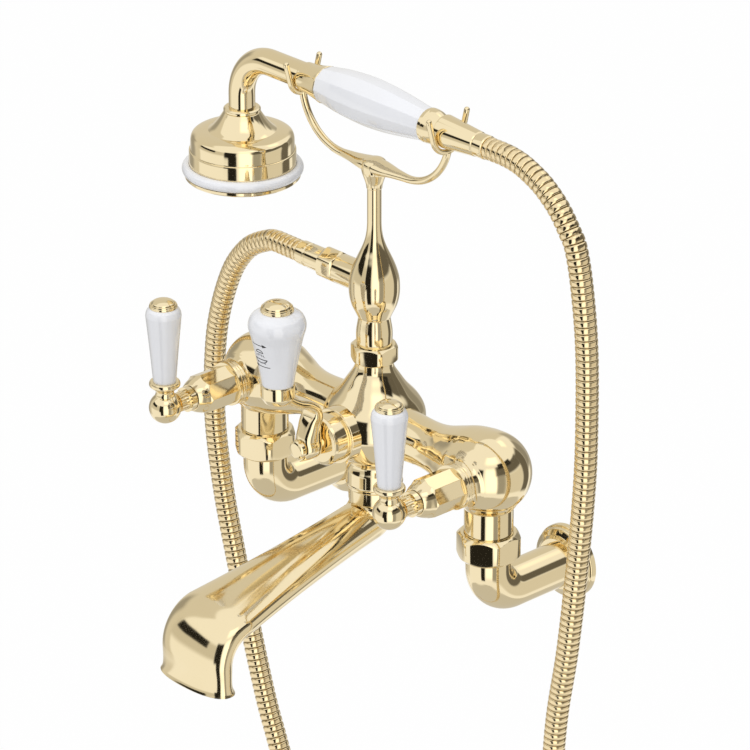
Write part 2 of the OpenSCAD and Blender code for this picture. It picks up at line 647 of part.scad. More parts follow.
module at_knob() translate([0, -body_projection - knob_t, body_height]) children();
module diverter_bonnet() color(gold) at_body() forward() difference() {
    union() {
        translate([0, 0, diverter_boss_reach]) revolve([[0, 0], [diverter_bonnet_d / 2, 0],
            [diverter_bonnet_d / 2, diverter_bonnet_length - 2.4], [diverter_bonnet_d / 2 - 0.7,
                diverter_bonnet_length - 0.7],
            [diverter_bonnet_d / 2 - 2.4, diverter_bonnet_length], [0, diverter_bonnet_length]]);
        translate([0, 0, diverter_boss_reach - 2]) cylinder(r = drum_d / 2, h = 3);
    }
    translate([0, 0, drum_start]) cylinder(r = stem_r + fit, h = diverter_face_t);
}
module diverter_seal() color(rubber) at_body() forward() translate([0, 0, drum_end_t + face_gap])
    ring(drum_d / 2 - 0.2, stem_r + 0.2, diverter_seal_t - face_gap);
module diverter_spindle() color(gold) at_body() forward() difference() {
    union() {
        translate([0, 0, drum_start + gap]) cylinder(d = drum_d, h = drum_length - gap);
        translate([0, 0, drum_start + gap]) cylinder(r = stem_r,
            h = crank_face_t - drum_start - gap - 0.6);
    }
    translate([-drum_d, 0, drum_start + drum_length / 2]) sideways(1) cylinder(d = waterway_d * 0.7,
        h = 2 * drum_d);
    translate([0, 0, crank_face_t - crank_screw_hold]) cylinder(r = crank_screw_r + fit,
        h = crank_screw_hold + 1);
}
module diverter_crank() color(gold) at_body() difference() {
    union() {
        forward() translate([0, 0, crank_back_t]) linear_extrude(crank_hub_t) union() {
            circle(r = crank_hub_r);
            translate([-crank_w / 2, 0]) square([crank_w, knob_seat_height * 0.3]);
        }
        translate([-crank_w / 2, 0, 0]) rotate([90, 0, 90]) linear_extrude(crank_w)
            polygon([for (p = strip_outline(crank_path, crank_t)) [-p[0], p[1]]]);
        translate([0, -knob_t, knob_seat_height - knob_collar_h]) cylinder(d = knob_collar_d,
            h = knob_collar_h + saucer);
    }
    forward() translate([0, 0, crank_back_t - 1]) cylinder(r = stem_r + fit, h = crank_hub_t + 1 - 0.5);
    forward() translate([0, 0, crank_face_t - 2]) cylinder(r = crank_screw_r + fit, h = 3);
    translate([0, -knob_t, knob_seat_height]) cylinder(r = knob_foot_r + fit, h = saucer + 1);
    translate([0, -knob_t, knob_seat_height - stud_sink]) cylinder(r = stud_r + fit, h = stud_sink + 1);
}
module diverter_screw() color(gold) at_body() forward() translate([0, 0, crank_face_t]) {
    revolve([[0, 0], [crank_screw_d / 2, 0], [crank_screw_d / 2, crank_screw_h - 1.2],
        [crank_screw_d / 2 - 1.2, crank_screw_h], [0, crank_screw_h]]);
    translate([0, 0, 0.3 - crank_screw_hold]) cylinder(r = crank_screw_r, h = crank_screw_hold);
}
module diverter_grip() color(porcelain) at_knob() translate([0, 0, knob_seat_height])
    revolve(knob_outline);
module diverter_cap() color(gold) at_knob() translate([0, 0, knob_top]) difference() {
    revolve(cap_outline(knob_cap_d / 2, knob_cap_height));
    translate([0, 0, -1]) cylinder(r = stud_r + fit, h = stud_rise + 1);
}
module diverter_stud() color(steel) at_knob() translate([0, 0, knob_seat_height - stud_sink])
    cylinder(r = stud_r, h = stud_sink + knob_length + stud_rise);

// Pillar, hose outlet and cradle, measured up from the body axis
pillar_z = bell_height + pillar_washer_t;
pillar_flange = 1.5;
pillar_lip_z = pillar_z + pillar_flange;
pillar_nut_z = pillar_lip_z + 1.5 - pillar_nut_height;
pillar_flange_r = bell_thread_d / 2 - 0.1;
pillar_socket = 10;
hub_z = cradle_height - 13;
pillar_top_z = hub_z + pillar_socket;
pillar_bore_r = 5;
pillar_neck_r = pillar_neck_d / 2;
bulb_r = pillar_bulb_d / 2;
bulb_z = outlet_height - 3;
pillar_waist_r = pillar_waist_d / 2;
// Share of the swell from waist to bulb, and depth below the bulb as a share of the waist's
waist_shape = [[0, 1], [0.12, 0.886], [0.34, 0.749], [0.57, 0.611], [0.75, 0.48], [0.93, 0.25]];
// Share of the swell from neck to bulb, and height above the bulb as a share of the taper
taper_shape = [[1, 0], [0.97, 0.15], [0.86, 0.274], [0.69, 0.397], [0.48, 0.521], [0.27, 0.642],
    [0.11, 0.766], [0.03, 0.887], [0, 1]];
pillar_curve = smooth(concat([[pillar_foot_d / 2, pillar_lip_z + 2], [pillar_foot_d / 2 + 0.3,
    pillar_lip_z + 4], [pillar_foot_d / 2 + 0.3, bulb_z - pillar_waist_rise * 1.4]],
    [for (w = waist_shape) [pillar_waist_r + (bulb_r - pillar_waist_r) * w[0],
        bulb_z - pillar_waist_rise * w[1]]],
    [for (w = taper_shape) [pillar_neck_r + (bulb_r - pillar_neck_r) * w[0],
        bulb_z + pillar_taper * w[1]]]), 3);
outlet_r = outlet_thread_d / 2;
ferrule_r = hose_d / 2 + 0.7;
hose_washer_t = 1.5;
ferrule_flange = 1.6;
lip_x = outlet_reach + hose_washer_t + ferrule_flange;
hose_nut_x = lip_x + 2.4 - hose_nut_length;
outlet_shoulder = hose_nut_x - gap;
ferrule_end = lip_x + lower_ferrule_length;

module at_outlet() at_body() translate([0, 0, outlet_height]) sideways(-1) children();
module pillar() color(gold) difference() {
    union() {
        at_body() revolve(concat([[0, pillar_z], [pillar_flange_r, pillar_z], [pillar_flange_r,
            pillar_lip_z],
            [pillar_foot_d / 2, pillar_lip_z]], pillar_curve, [[pillar_neck_r, pillar_top_z], [0,
                pillar_top_z]]));
        at_outlet() {
            cylinder(r = outlet_r, h = outlet_reach);
            cylinder(d = outlet_boss_d, h = outlet_shoulder);
        }
    }
    at_body() translate([0, 0, pillar_z - 1]) cylinder(r = pillar_bore_r, h = outlet_height - pillar_z
        + 5);
    at_outlet() cylinder(r = pillar_bore_r, h = outlet_reach + 1);
}
module pillar_nut() color(gold) at_body() translate([0, 0, pillar_nut_z]) difference() {
    hexagon(pillar_nut_size, pillar_nut_height, 1.4, nut_turn);
    translate([0, 0, -1]) cylinder(r = pillar_foot_d / 2 + fit, h = pillar_nut_height + 2);
    translate([0, 0, -1]) cylinder(r = bell_thread_d / 2 + fit, h = pillar_lip_z - pillar_nut_z + 1);
}
module pillar_washer() color(fibre) at_body() translate([0, 0, bell_height])
    ring(pillar_flange_r - 0.2, (waterway_d + 2) / 2, pillar_washer_t);
module outlet_nut() color(gold) at_outlet() translate([0, 0, hose_nut_x]) difference() {
    hexagon(hose_nut_size, hose_nut_length, 1, hose_nut_turn);
    translate([0, 0, -1]) cylinder(r = ferrule_r + fit, h = hose_nut_length + 2);
    translate([0, 0, -1]) cylinder(r = outlet_r + fit, h = lip_x - hose_nut_x + 1);
}
module outlet_washer() color(rubber) at_outlet() translate([0, 0, outlet_reach])
    ring(outlet_r - 0.2, pillar_bore_r, hose_washer_t);
module lower_ferrule() color(gold) at_outlet() difference() {
    union() {
        translate([0, 0, lip_x - ferrule_flange]) cylinder(r = outlet_r - 0.05, h = ferrule_flange);
        translate([0, 0, lip_x]) revolve([[0, 0], [ferrule_r, 0], [ferrule_r, ferrule_end - lip_x - 8],
            [ferrule_r - 0.5, ferrule_end - lip_x - 7], [ferrule_r - 0.5, ferrule_end - lip_x - 1],
            [ferrule_r - 1, ferrule_end - lip_x], [0, ferrule_end - lip_x]]);
    }
    translate([0, 0, outlet_reach]) cylinder(d = hose_bore_d, h = ferrule_end);
}

rod_r = cradle_rod_d / 2;
fork_rod_r = fork_rod_d / 2;
prong_r = fork_rod_r - 0.12;
fork_x = fork_centres / 2;
// Distance from the pillar's axis to the grip's front end, which leaves room for the collar behind the fork
grip_start = fork_x - rod_r - gap - front_collar_length;
fork_spread = 75;
handset_tube_r = handset_tube_d / 2;
cone_start = grip_length - grip_start + rear_collar_length;
cone_land = 1;
// Radius of the fork that holds the tube on the left and the conical nut on the right
function fork_r(side) = (side < 0 ? handset_tube_r : cone_d / 2) + gap + fork_rod_r;
hub_r = 7.2;
cradle_screw_r = 2;
cradle_screw_z = hub_z + 6;
cradle_screw_end = hub_r - 0.6;

// Round-ended prong, a little slimmer than the fork and sunk into its end
module prong(length) translate([0, 0, -0.8])
    revolve(concat([[0, 0], [prong_r, 0]], arc([0, length + 0.8], prong_r, 0, 90, 6)));
// Fork in the plane across the handset, about the handset's axis
module fork(side) {
    r = fork_r(side);
    rise = (fork_tip_height + r * cos(fork_spread)) / sin(fork_spread);
    rotate([0, 90, 0]) rotate(-fork_spread) rotate_extrude(angle = 2 * fork_spread)
        translate([r, 0]) circle(r = fork_rod_r);
    for (front = [-1, 1]) translate([0, front * r * sin(fork_spread), -r * cos(fork_spread)])
        rotate([-front * (90 - fork_spread), 0, 0]) prong(rise);
}
// Arm from the hub, level at first and then rising in an arc to the foot of its fork
module cradle_arm(side) {
    turn = acos(1 - (handset_height - cradle_height - fork_r(side)) / cradle_bend);
    straight = fork_x - cradle_bend * sin(turn);
    sideways(side) cylinder(r1 = hub_r * 0.72, r2 = rod_r, h = straight * 0.85);
    translate([side * straight * 0.85, 0, 0]) sideways(side) cylinder(r = rod_r, h = straight * 0.15 + 1);
    mirror([side < 0 ? 1 : 0, 0, 0]) translate([straight, 0, cradle_bend]) rotate([90, 0, 0]) rotate(-90)
        rotate_extrude(angle = turn) translate([cradle_bend, 0]) circle(r = rod_r - 0.05);
}
module cradle() color(gold) difference() {
    union() {
        at_body() translate([0, 0, hub_z]) revolve(concat([[0, 0], [5.2, 0]],
            smooth([[5.4, 1.5], [5.2, 3.5], [hub_r - 0.7, 8], [hub_r, 12], [hub_r - 1, 15.5],
                [hub_r * 0.5, 18], [0, 18.6]], 3)));
        at_body() translate([0, 0, cradle_height]) for (side = [-1, 1]) cradle_arm(side);
        at_handset() for (side = [-1, 1]) translate([side * fork_x, 0, 0]) fork(side);
    }
    at_body() translate([0, 0, hub_z - 1]) cylinder(r = pillar_neck_r + fit, h = pillar_socket + 1);
    at_body() translate([0, 0, cradle_screw_z]) rotate([-90, 0, 0]) cylinder(r = cradle_screw_r + fit,
        h = hub_r + 2);
}
module cradle_screw() color(steel) at_body() translate([0, pillar_neck_r, cradle_screw_z]) rotate([-90,
    0, 0])
    difference() {
        translate([0, 0, 0.15]) cylinder(r = cradle_screw_r, h = cradle_screw_end - pillar_neck_r - 0.15);
        translate([0, 0, cradle_screw_end - pillar_neck_r - 1.2]) cylinder(d = 2, h = 2, $fn = 6);
    }

// Handset, measured from the handset's axis; the rose hangs below it
rose_face = -rose_drop;
rose_top = rose_face + rose_height;
rose_seat = rose_face + spray_plate_t;
rose_seal_t = 0.6;
rose_foot = rose_seat + rose_seal_t;
rose_r = rose_d / 2;
rose_neck_r = handset_tube_r + 2.8;
rose_wall = 1.6;
rose_socket = 8;
ring_r = (rose_ring_d - rose_d) / 2 * 0.8;
plate_hub_r = rose_r - rose_wall - 1.4;
front_x = -grip_start;
collar_x = front_x - front_collar_length;
tube_end_x = front_x - 5;
rear_x = front_x + grip_length;
grip_tube_end = cone_start - 1;
rose_grow = rose_r - rose_neck_r;
// Share of the swell from collar to edge, and depth below the collar as a share of the rose's height
rose_shape = [[0, 0.063], [0.092, 0.137], [0.204, 0.21], [0.336, 0.28], [0.439, 0.32], [0.697, 0.339],
    [0.886, 0.383], [0.942, 0.463], [0.948, 0.551], [0.989, 0.615]];
rose_outer = smooth([for (w = rose_shape) [rose_neck_r + rose_grow * w[0],
    rose_top - rose_height * w[1]]], 3);

module at_rose() at_handset() translate([-rose_reach, 0, 0]) children();
// Bent tube of the handset, from the rose up and along to the collar
module bent_tube(r, foot, end) {
    translate([-rose_reach, 0, foot]) cylinder(r = r, h = -handset_bend - foot);
    translate([handset_bend - rose_reach, 0, -handset_bend]) rotate([0, 0, -90]) mirror([0, 0, 1])
        quarter_bend(handset_bend, r);
    translate([handset_bend - rose_reach, 0, 0]) sideways(1) cylinder(r = r, h = end - handset_bend
        + rose_reach);
}
module handset_neck() color(gold) at_handset() difference() {
    bent_tube(handset_tube_r, rose_top - rose_socket, tube_end_x);
    bent_tube(handset_tube_r - 2, rose_top - rose_socket - 1, tube_end_x - 4);
    translate([tube_end_x - 5, 0, 0]) sideways(1) cylinder(d = grip_tube_d + 2 * fit, h = 6);
}
module head_bell() color(gold) at_rose() difference() {
    revolve(concat([[0, rose_top], [rose_neck_r - 0.6, rose_top], [rose_neck_r, rose_top - 0.6]],
        rose_outer,
        [[rose_r, rose_foot], [0, rose_foot]]));
    revolve([[0, rose_foot - 1], [rose_r - rose_wall, rose_foot - 1], [rose_r - rose_wall - 1.2,
        rose_top - rose_height * 0.488],
        [rose_r * 0.6, rose_top - rose_height * 0.385], [0, rose_top - rose_height * 0.385]]);
    translate([0, 0, rose_top - rose_socket]) cylinder(r = handset_tube_r + fit, h = rose_socket + 1);
    translate([0, 0, rose_foot]) cylinder(r = handset_tube_r - 2, h = rose_height);
}
module head_seal() color(rubber) at_rose() translate([0, 0, rose_seat]) ring(rose_r - 0.2, plate_hub_r
    + 0.2, rose_seal_t);
module head_ring() color(porcelain) at_rose() translate([0, 0, rose_seat + ring_r]) difference() {
    rotate_extrude() translate([rose_ring_d / 2 - ring_r, 0]) circle(r = ring_r);
    translate([0, 0, -2 * ring_r]) cylinder(r = rose_r + fit, h = 4 * ring_r);
}
module spray_plate() color(gold) at_rose() translate([0, 0, rose_face]) difference() {
    union() {
        revolve([[0, 0], [spray_plate_d / 2 - 0.8, 0], [spray_plate_d / 2, 0.8], [spray_plate_d / 2,
            spray_plate_t],
            [0, spray_plate_t]]);
        cylinder(r = plate_hub_r, h = spray_plate_t + 3);
    }
    translate([0, 0, spray_plate_t - 0.6]) cylinder(r = plate_hub_r - 1.6, h = 6);
    for (i = [1 : spray_rings], k = [1 : 6 * i]) rotate(k * 60 / i)
        translate([i * (plate_hub_r - 4) / spray_rings, 0, -1]) cylinder(d = spray_hole_d,
            h = spray_plate_t + 2, $fn = 16);
}
// Share of the flare from tube to grip, and place as a share of the front collar's length
collar_shape = [[0.15, 0], [0.2, 0.12], [0.38, 0.4], [0.7, 0.78], [0.95, 1]];
grip_swell = (grip_d - grip_end_d) / 2;
grip_front_r = grip_end_d / 2 + grip_swell * 0.33;
collar_flare = grip_front_r + 0.3 - handset_tube_r;
module handset_front_collar() color(gold) at_handset() translate([collar_x, 0, 0]) sideways(1)
    difference() {
    revolve(concat([[0, 0]], smooth([for (w = collar_shape)
        [handset_tube_r + collar_flare * w[0], front_collar_length * w[1]]], 4),
        [[0, front_collar_length]]));
    translate([0, 0, -1]) cylinder(r = handset_tube_r + fit, h = tube_end_x - collar_x + 1);
    cylinder(d = grip_tube_d + 2 * fit, h = front_collar_length + 1);
}
module handset_tube() color(gold) at_handset() translate([tube_end_x - 4.9, 0, 0]) sideways(1)
    ring(grip_tube_d / 2, grip_tube_d / 2 - 1.5, grip_tube_end - tube_end_x + 4.9);
grip_outline = concat([[grip_tube_d / 2 + fit, 0]],
    smooth([for (s = [[0, 0.33], [0.09, 0.55], [0.2, 0.8], [0.41, 1], [0.61, 0.86], [0.8, 0.5], [1, 0.03]])
        [grip_end_d / 2 + grip_swell * s[1], grip_length * s[0]]], 4),
    [[grip_tube_d / 2 + fit, grip_length]]);
module handset_grip() color(porcelain) at_handset() translate([front_x, 0, 0]) sideways(1)
    revolve(grip_outline);
tail_r_x = 12;
tail_thread_r = cone_end_d / 2 - 1.2;
module handset_rear_collar() color(gold) at_handset() translate([rear_x, 0, 0]) sideways(1) difference() {
    revolve(concat([[0, 0]], smooth([[grip_end_d / 2 + 0.7, 0], [grip_end_d / 2 + 0.5,
        rear_collar_length * 0.35],
        [tail_thread_r + 1.6, rear_collar_length * 0.85], [tail_thread_r + 1.4, rear_collar_length]], 3),
        [[tail_thread_r, rear_collar_length], [tail_thread_r, rear_collar_length + tail_r_x],
        [0, rear_collar_length + tail_r_x]]));
    translate([0, 0, -1]) cylinder(d = grip_tube_d + 2 * fit, h = grip_tube_end - rear_x + 1);
    translate([0, 0, -1]) cylinder(d = hose_way_d, h = rear_collar_length + tail_r_x + 2);
}
cone_lip_x = cone_start + tail_r_x + hose_washer_t + ferrule_flange;
cone_end_x = cone_start + cone_length;
upper_end_x = cone_end_x + upper_ferrule_length;
cone_bore_r = cone_end_d / 2 - 1.6;
module hose_cone() color(gold) at_handset() translate([cone_start, 0, 0]) sideways(1) difference() {
    revolve([[0, 0], [cone_d / 2 - 0.5, 0], [cone_d / 2, 0.5], [cone_d / 2, cone_land], [cone_end_d / 2,
        cone_length - 0.5],
        [cone_end_d / 2 - 0.5, cone_length], [0, cone_length]]);
    translate([0, 0, -1]) cylinder(r = tail_thread_r + fit, h = cone_lip_x - cone_start + 1);
    cylinder(r = cone_bore_r + fit, h = cone_length + 1);
}
module hose_washer() color(rubber) at_handset() translate([cone_start + tail_r_x, 0, 0]) sideways(1)
    ring(tail_thread_r - 0.15, 3.2, hose_washer_t);
module upper_ferrule() color(gold) at_handset() translate([cone_lip_x - ferrule_flange, 0, 0])
    sideways(1) difference() {
    union() {
        cylinder(r = tail_thread_r - 0.05, h = ferrule_flange);
        cylinder(r = cone_bore_r, h = upper_end_x - cone_lip_x + ferrule_flange);
        translate([0, 0, cone_end_x - cone_lip_x + ferrule_flange]) cylinder(r = cone_end_d / 2 - 0.3,
            h = upper_end_x - cone_end_x);
    }
    translate([0, 0, -1]) cylinder(d = hose_way_d, h = cone_length);
    translate([0, 0, upper_end_x - cone_lip_x]) cylinder(d = hose_bore_d,
        h = upper_ferrule_length);
}

// Spout, measured from the body axis: forward distance and height
spigot_top = -spout_boss_depth + spigot_length;
collar_top = -spout_boss_depth - face_gap;
collar_low = collar_top - spout_collar_height;
root_radius = spout_collar_d / 2 * 0.86;
bend_start = spout_reach - nose_radius * (1 - sin(spout_fall));
run_start = [root_radius * (1 - sin(spout_fall)), collar_low - root_radius * cos(spout_fall)];
run_length = (bend_start - run_start[0]) / cos(spout_fall);
run_end = run_start + run_length * [cos(spout_fall), -sin(spout_fall)];
lip_z = run_end[1] - nose_radius * cos(spout_fall) - nose_length;
spout_sides = 24;
nose_square = 2.3;
// Stations along the spout: place, heading below level, half width, half thickness, squareness
collar_stations = [[[0, collar_low + 2], 90, spout_collar_d / 2 - 0.3, spout_collar_d / 2 - 0.3, 2]];
root_stations = [for (i = [0 : 5]) let (a = 90 - (90 - spout_fall) * i / 5)
    [[root_radius * (1 - sin(a)), collar_low - root_radius * cos(a)], a,
        spout_collar_d / 2 - 0.3,
        spout_collar_d / 2 - 0.3 - (spout_collar_d / 2 - spout_h * 0.62) * i / 5, 2]];
run_stations = [for (i = [1 : 6]) let (k = i / 6)
    [run_start + (run_end - run_start) * k, spout_fall,
        spout_collar_d / 2 + (spout_w - spout_collar_d) / 2 * pow(k, 1.5),
        spout_h * 0.62 + (spout_h / 2 - spout_h * 0.62) * k, 2 + (nose_square - 2) * k]];
bend_stations = [for (i = [1 : 6]) let (a = spout_fall + (90 - spout_fall) * i / 6)
    [run_end + nose_radius * [sin(a) - sin(spout_fall), cos(a) - cos(spout_fall)], a, spout_w / 2,
        spout_h / 2 + (mouth_depth / 2 + 0.6 - spout_h / 2) * i / 6, nose_square]];
nose_stations = [for (s = [[0.55, 0, 0], [0.85, 0.3, 0.3], [1, 1.6, 1.6]])
    [[spout_reach, run_end[1] - nose_radius * cos(spout_fall) - nose_length * s[0]], 90,
        spout_w / 2 + s[1], mouth_depth / 2 + s[2], nose_square]];
stations = concat(collar_stations, root_stations, run_stations, bend_stations, nose_stations);
function signed_power(v, p) = sign(v) * pow(abs(v), p);
// Ring of points of one station, drawn in by the inset
function station_ring(s, inset) = [for (k = [0 : spout_sides - 1]) let (a = 360 * k / spout_sides,
    x = (s[2] - inset) * signed_power(cos(a), 2 / s[4]), n = (s[3] - inset) * signed_power(sin(a),
        2 / s[4]))
    [x, -(s[0][0] + n * sin(s[1])), s[0][1] + n * cos(s[1])]];
// Faces of a tube with a skin outside and another inside, from m rings each of n points
function tube_faces(m, n, m2) = let (o = m * n) concat(
    [for (j = [0 : m - 2], k = [0 : n - 1]) [j * n + k, (j + 1) * n + (k + 1) % n, j * n + (k + 1) % n]],
    [for (j = [0 : m - 2], k = [0 : n - 1]) [j * n + k, (j + 1) * n + k, (j + 1) * n + (k + 1) % n]],
    [for (j = [0 : m2 - 2], k = [0 : n - 1]) [o + j * n + k, o + j * n + (k + 1) % n, o + (j + 1) * n
        + (k + 1) % n]],
    [for (j = [0 : m2 - 2], k = [0 : n - 1]) [o + j * n + k, o + (j + 1) * n + (k + 1) % n, o + (j
        + 1) * n + k]],
    [for (k = [0 : n - 1]) [k, (k + 1) % n, o + (k + 1) % n]],
    [for (k = [0 : n - 1]) [k, o + (k + 1) % n, o + k]],
    [for (k = [0 : n - 1]) [(m - 1) * n + k, o + (m2 - 1) * n + k, (m - 1) * n + (k + 1) % n]],
    [for (k = [0 : n - 1]) [(m - 1) * n + (k + 1) % n, o + (m2 - 1) * n + k, o + (m2 - 1) * n + (k
        + 1) % n]]);

module spout_shell() polyhedron(
    points = concat([for (s = stations) each station_ring(s, 0)], [for (s = stations)
        each station_ring(s, spout_wall)]),
    faces = tube_faces(len(stations), spout_sides, len(stations)));
seal_groove = spigot_top - spigot_length / 2;
spigot_bore_r = spigot_d / 2 - 3.4;
collar_bore_r = spout_collar_d / 2 - spout_wall - 1;
groove_r = spigot_d / 2 - spout_seal_d * 0.85;
collar_outline = [[collar_bore_r, collar_low], [spout_collar_d / 2, collar_low], [spout_collar_d / 2,
    collar_top - 0.5],
    [spout_collar_d / 2 - 0.5, collar_top], [spigot_d / 2, collar_top], [spigot_d / 2,
        seal_groove - spout_seal_d / 2],
    [groove_r, seal_groove - spout_seal_d / 2], [groove_r, seal_groove + spout_seal_d / 2],
    [spigot_d / 2, seal_groove + spout_seal_d / 2], [spigot_d / 2, spigot_top], [spigot_bore_r,
        spigot_top],
    [spigot_bore_r, collar_top - 3], [collar_bore_r, collar_top - 4]];
module spout() color(gold) at_body() {
    spout_shell();
    revolve(collar_outline);
}
module spout_seal() color(rubber) at_body() translate([0, 0, seal_groove]) rotate_extrude()
    translate([spigot_d / 2 - spout_seal_d * 0.42, 0]) circle(d = spout_seal_d * 0.82);
straightener_t = 4;
module flow_straightener() color(gold) at_body() translate([0, -spout_reach, lip_z + nose_length * 0.45
    + 1]) difference() {
    linear_extrude(straightener_t) polygon([for (k = [0 : spout_sides - 1]) let (a = 360 * k / spout_sides)
        [(spout_w / 2 - spout_wall - fit) * signed_power(cos(a), 2 / nose_square),
            (mouth_depth / 2 - spout_wall - fit) * signed_power(sin(a), 2 / nose_square)]]);
    for (i = [-4 : 4]) translate([i * spout_w / 11 - 1.2, -mouth_depth * 0.22, -1]) cube([2.4,
        mouth_depth * 0.44, straightener_t + 2]);
}

// Hose: hand-chosen points of its middle line across the front of the body, as X and Z
hose_sides = 8;
hose_bore_rings = 80;
hose_route = [[-85, 153], [-100, 145], [-112, 132], [-120, 117], [-127, 97], [-131, 77], [-133, 49],
    [-132, 21],
    [-126, -15], [-117, -50], [-102, -102], [-91, -137], [-81, -162], [-54, -232], [-28, -305], [0, -378],
    [32, -432], [68, -455], [102, -436], [121, -385], [130, -305], [135, -220], [139, -140],
    [143, -63], [151, -11], [157, 41], [161, 87], [162, 121], [161, 166], [157, 199], [152, 221],
    [140, 239], [125, 251], [114, 257]];
hose_start = [-ferrule_end, body_height + outlet_height];
hose_stop = [upper_end_x, body_height + handset_height];
hose_lead = hose_d * 1.15;
hose_line = concat([hose_start, hose_start - [hose_lead, 0]], smooth(concat([hose_start - [hose_lead + 6,
    0]], hose_route,
    [hose_stop + [hose_lead + 6, 0]]), 8), [hose_stop + [hose_lead, 0], hose_stop]);
// Distance along the line up to each of its points
function lengths(p, i = 0, run = 0) = i >= len(p) ? []
    : let (next = i == 0 ? 0 : run + norm(p[i] - p[i - 1])) concat([next], lengths(p, i + 1, next));
hose_runs = lengths(hose_line);
hose_length = hose_runs[len(hose_runs) - 1];
// Point and heading at the distance d along the line
function place_on(d, i = 1) = d <= hose_runs[i] || i == len(hose_line) - 1
    ? let (a = hose_line[i - 1], b = hose_line[i],
        t = (d - hose_runs[i - 1]) / (hose_runs[i] - hose_runs[i - 1]))
        [a + (b - a) * t, (b - a) / norm(b - a)]
    : place_on(d, i + 1);
function hose_ring(d, r) = let (s = place_on(d)) [for (k = [0 : hose_sides - 1])
    let (a = 360 * k / hose_sides)
    [s[0][0] - s[1][1] * r * cos(a), r * sin(a), s[0][1] + s[1][0] * r * cos(a)]];
hose_steps = 2 * hose_ribs;
module hose() color(gold) translate([0, -body_projection, 0]) polyhedron(
    points = concat(
        [for (i = [0 : hose_steps]) each hose_ring(hose_length * i / hose_steps,
            hose_d / 2 - (i % 2 == 0 ? hose_groove : 0))],
        [for (i = [0 : hose_bore_rings]) each hose_ring(hose_length * i / hose_bore_rings,
            hose_bore_d / 2)]),
    faces = tube_faces(hose_steps + 1, hose_sides, hose_bore_rings + 1));
echo(hose_length = hose_length);

body_casting();
left_elbow();
right_elbow();
left_union_nut();
right_union_nut();
union_washers();
left_flange();
right_flange();
flange_gaskets();
left_headwork();
right_headwork();
seat_seals();
fixed_discs();
left_bonnet();
right_bonnet();
left_spindle();
left_disc();
left_lever_base();
left_lever_grip();
left_lever_cap();
left_lever_stud();
right_spindle();
right_disc();
right_lever_base();
right_lever_grip();
right_lever_cap();
right_lever_stud();
diverter_bonnet();
diverter_seal();
diverter_spindle();
diverter_crank();
diverter_screw();
diverter_grip();
diverter_cap();
diverter_stud();
pillar();
pillar_nut();
pillar_washer();
outlet_nut();
outlet_washer();
lower_ferrule();
cradle();
cradle_screw();
handset_neck();
head_bell();
head_seal();
head_ring();
spray_plate();
handset_front_collar();
handset_tube();
handset_grip();
handset_rear_collar();
hose_cone();
hose_washer();
upper_ferrule();
hose();
spout();
spout_seal();
flow_straightener();
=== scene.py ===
# %% [markdown]
# # A bath and shower mixer in pale gold and porcelain
# This lesson dresses a finished construction model. The model comes in as a fixed frame
# of named solids in metres: +X to the right, +Y into the wall, +Z up, with the origin
# midway between the two wall inlets. Each visible solid gets a smooth piece in its own
# place, because polished metal shows every flat in its reflections.

# %% Load the frame
import json
import math
import bpy
import bmesh
import numpy as np
from mathutils import Matrix, Vector

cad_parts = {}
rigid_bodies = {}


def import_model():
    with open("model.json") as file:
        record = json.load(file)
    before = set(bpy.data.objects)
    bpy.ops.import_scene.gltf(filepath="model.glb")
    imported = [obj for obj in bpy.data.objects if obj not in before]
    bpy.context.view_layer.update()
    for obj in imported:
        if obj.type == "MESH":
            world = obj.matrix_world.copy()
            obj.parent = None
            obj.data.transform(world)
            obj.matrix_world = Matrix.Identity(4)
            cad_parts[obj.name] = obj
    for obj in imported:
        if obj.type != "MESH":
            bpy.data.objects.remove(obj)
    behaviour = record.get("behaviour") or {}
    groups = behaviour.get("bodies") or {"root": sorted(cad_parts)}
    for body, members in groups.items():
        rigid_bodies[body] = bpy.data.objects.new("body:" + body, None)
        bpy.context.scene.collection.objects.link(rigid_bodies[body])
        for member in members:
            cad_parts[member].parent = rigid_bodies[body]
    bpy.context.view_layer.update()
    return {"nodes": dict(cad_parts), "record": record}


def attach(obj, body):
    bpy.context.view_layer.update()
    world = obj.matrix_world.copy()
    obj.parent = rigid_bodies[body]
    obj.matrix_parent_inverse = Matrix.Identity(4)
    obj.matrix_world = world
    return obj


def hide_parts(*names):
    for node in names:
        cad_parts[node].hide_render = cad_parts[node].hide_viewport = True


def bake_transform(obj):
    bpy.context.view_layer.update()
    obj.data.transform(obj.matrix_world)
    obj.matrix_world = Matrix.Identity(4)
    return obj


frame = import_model()
MM = 0.001
# Millimetres: each valve to the side, the body in front of the wall and above the inlets
HALF, FRONT, AXIS = 90.0, -62.0, 73.0

# %% [markdown]
# ## Camera
# The picture was taken with a long lens from the right and a little above, so lines stay
# almost parallel. The angle, distance and lens were solved from the object's own right
# angles and equal pairs. The camera looks at one point with no roll and no shift.

# %% Camera
VIEW_AZ, VIEW_EL = math.radians(47.083), math.radians(24.499)
SENSOR, LENS, DISTANCE = 36, 234.79, 2.70736
AIM_RIGHT, AIM_UP = -0.04505, 0.00689
to_right = Vector((math.cos(VIEW_AZ), math.sin(VIEW_AZ), 0))
to_camera = Vector((math.sin(VIEW_AZ) * math.cos(VIEW_EL), -math.cos(VIEW_AZ) * math.cos(VIEW_EL),
                    math.sin(VIEW_EL)))
to_top = to_camera.cross(to_right)
aim = to_right * AIM_RIGHT + to_top * AIM_UP + Vector((0, 0, AXIS * MM))
camera_data = bpy.data.cameras.new("camera")
camera_data.sensor_width = SENSOR
camera_data.lens = LENS
camera = bpy.data.objects.new("camera", camera_data)
camera.matrix_world = Matrix.Translation(aim + to_camera * DISTANCE) @ Matrix(
    (to_right, to_top, to_camera)).transposed().to_4x4()
bpy.context.collection.objects.link(camera)
bpy.context.scene.camera = camera
print("camera at", [round(v, 3) for v in camera.location])

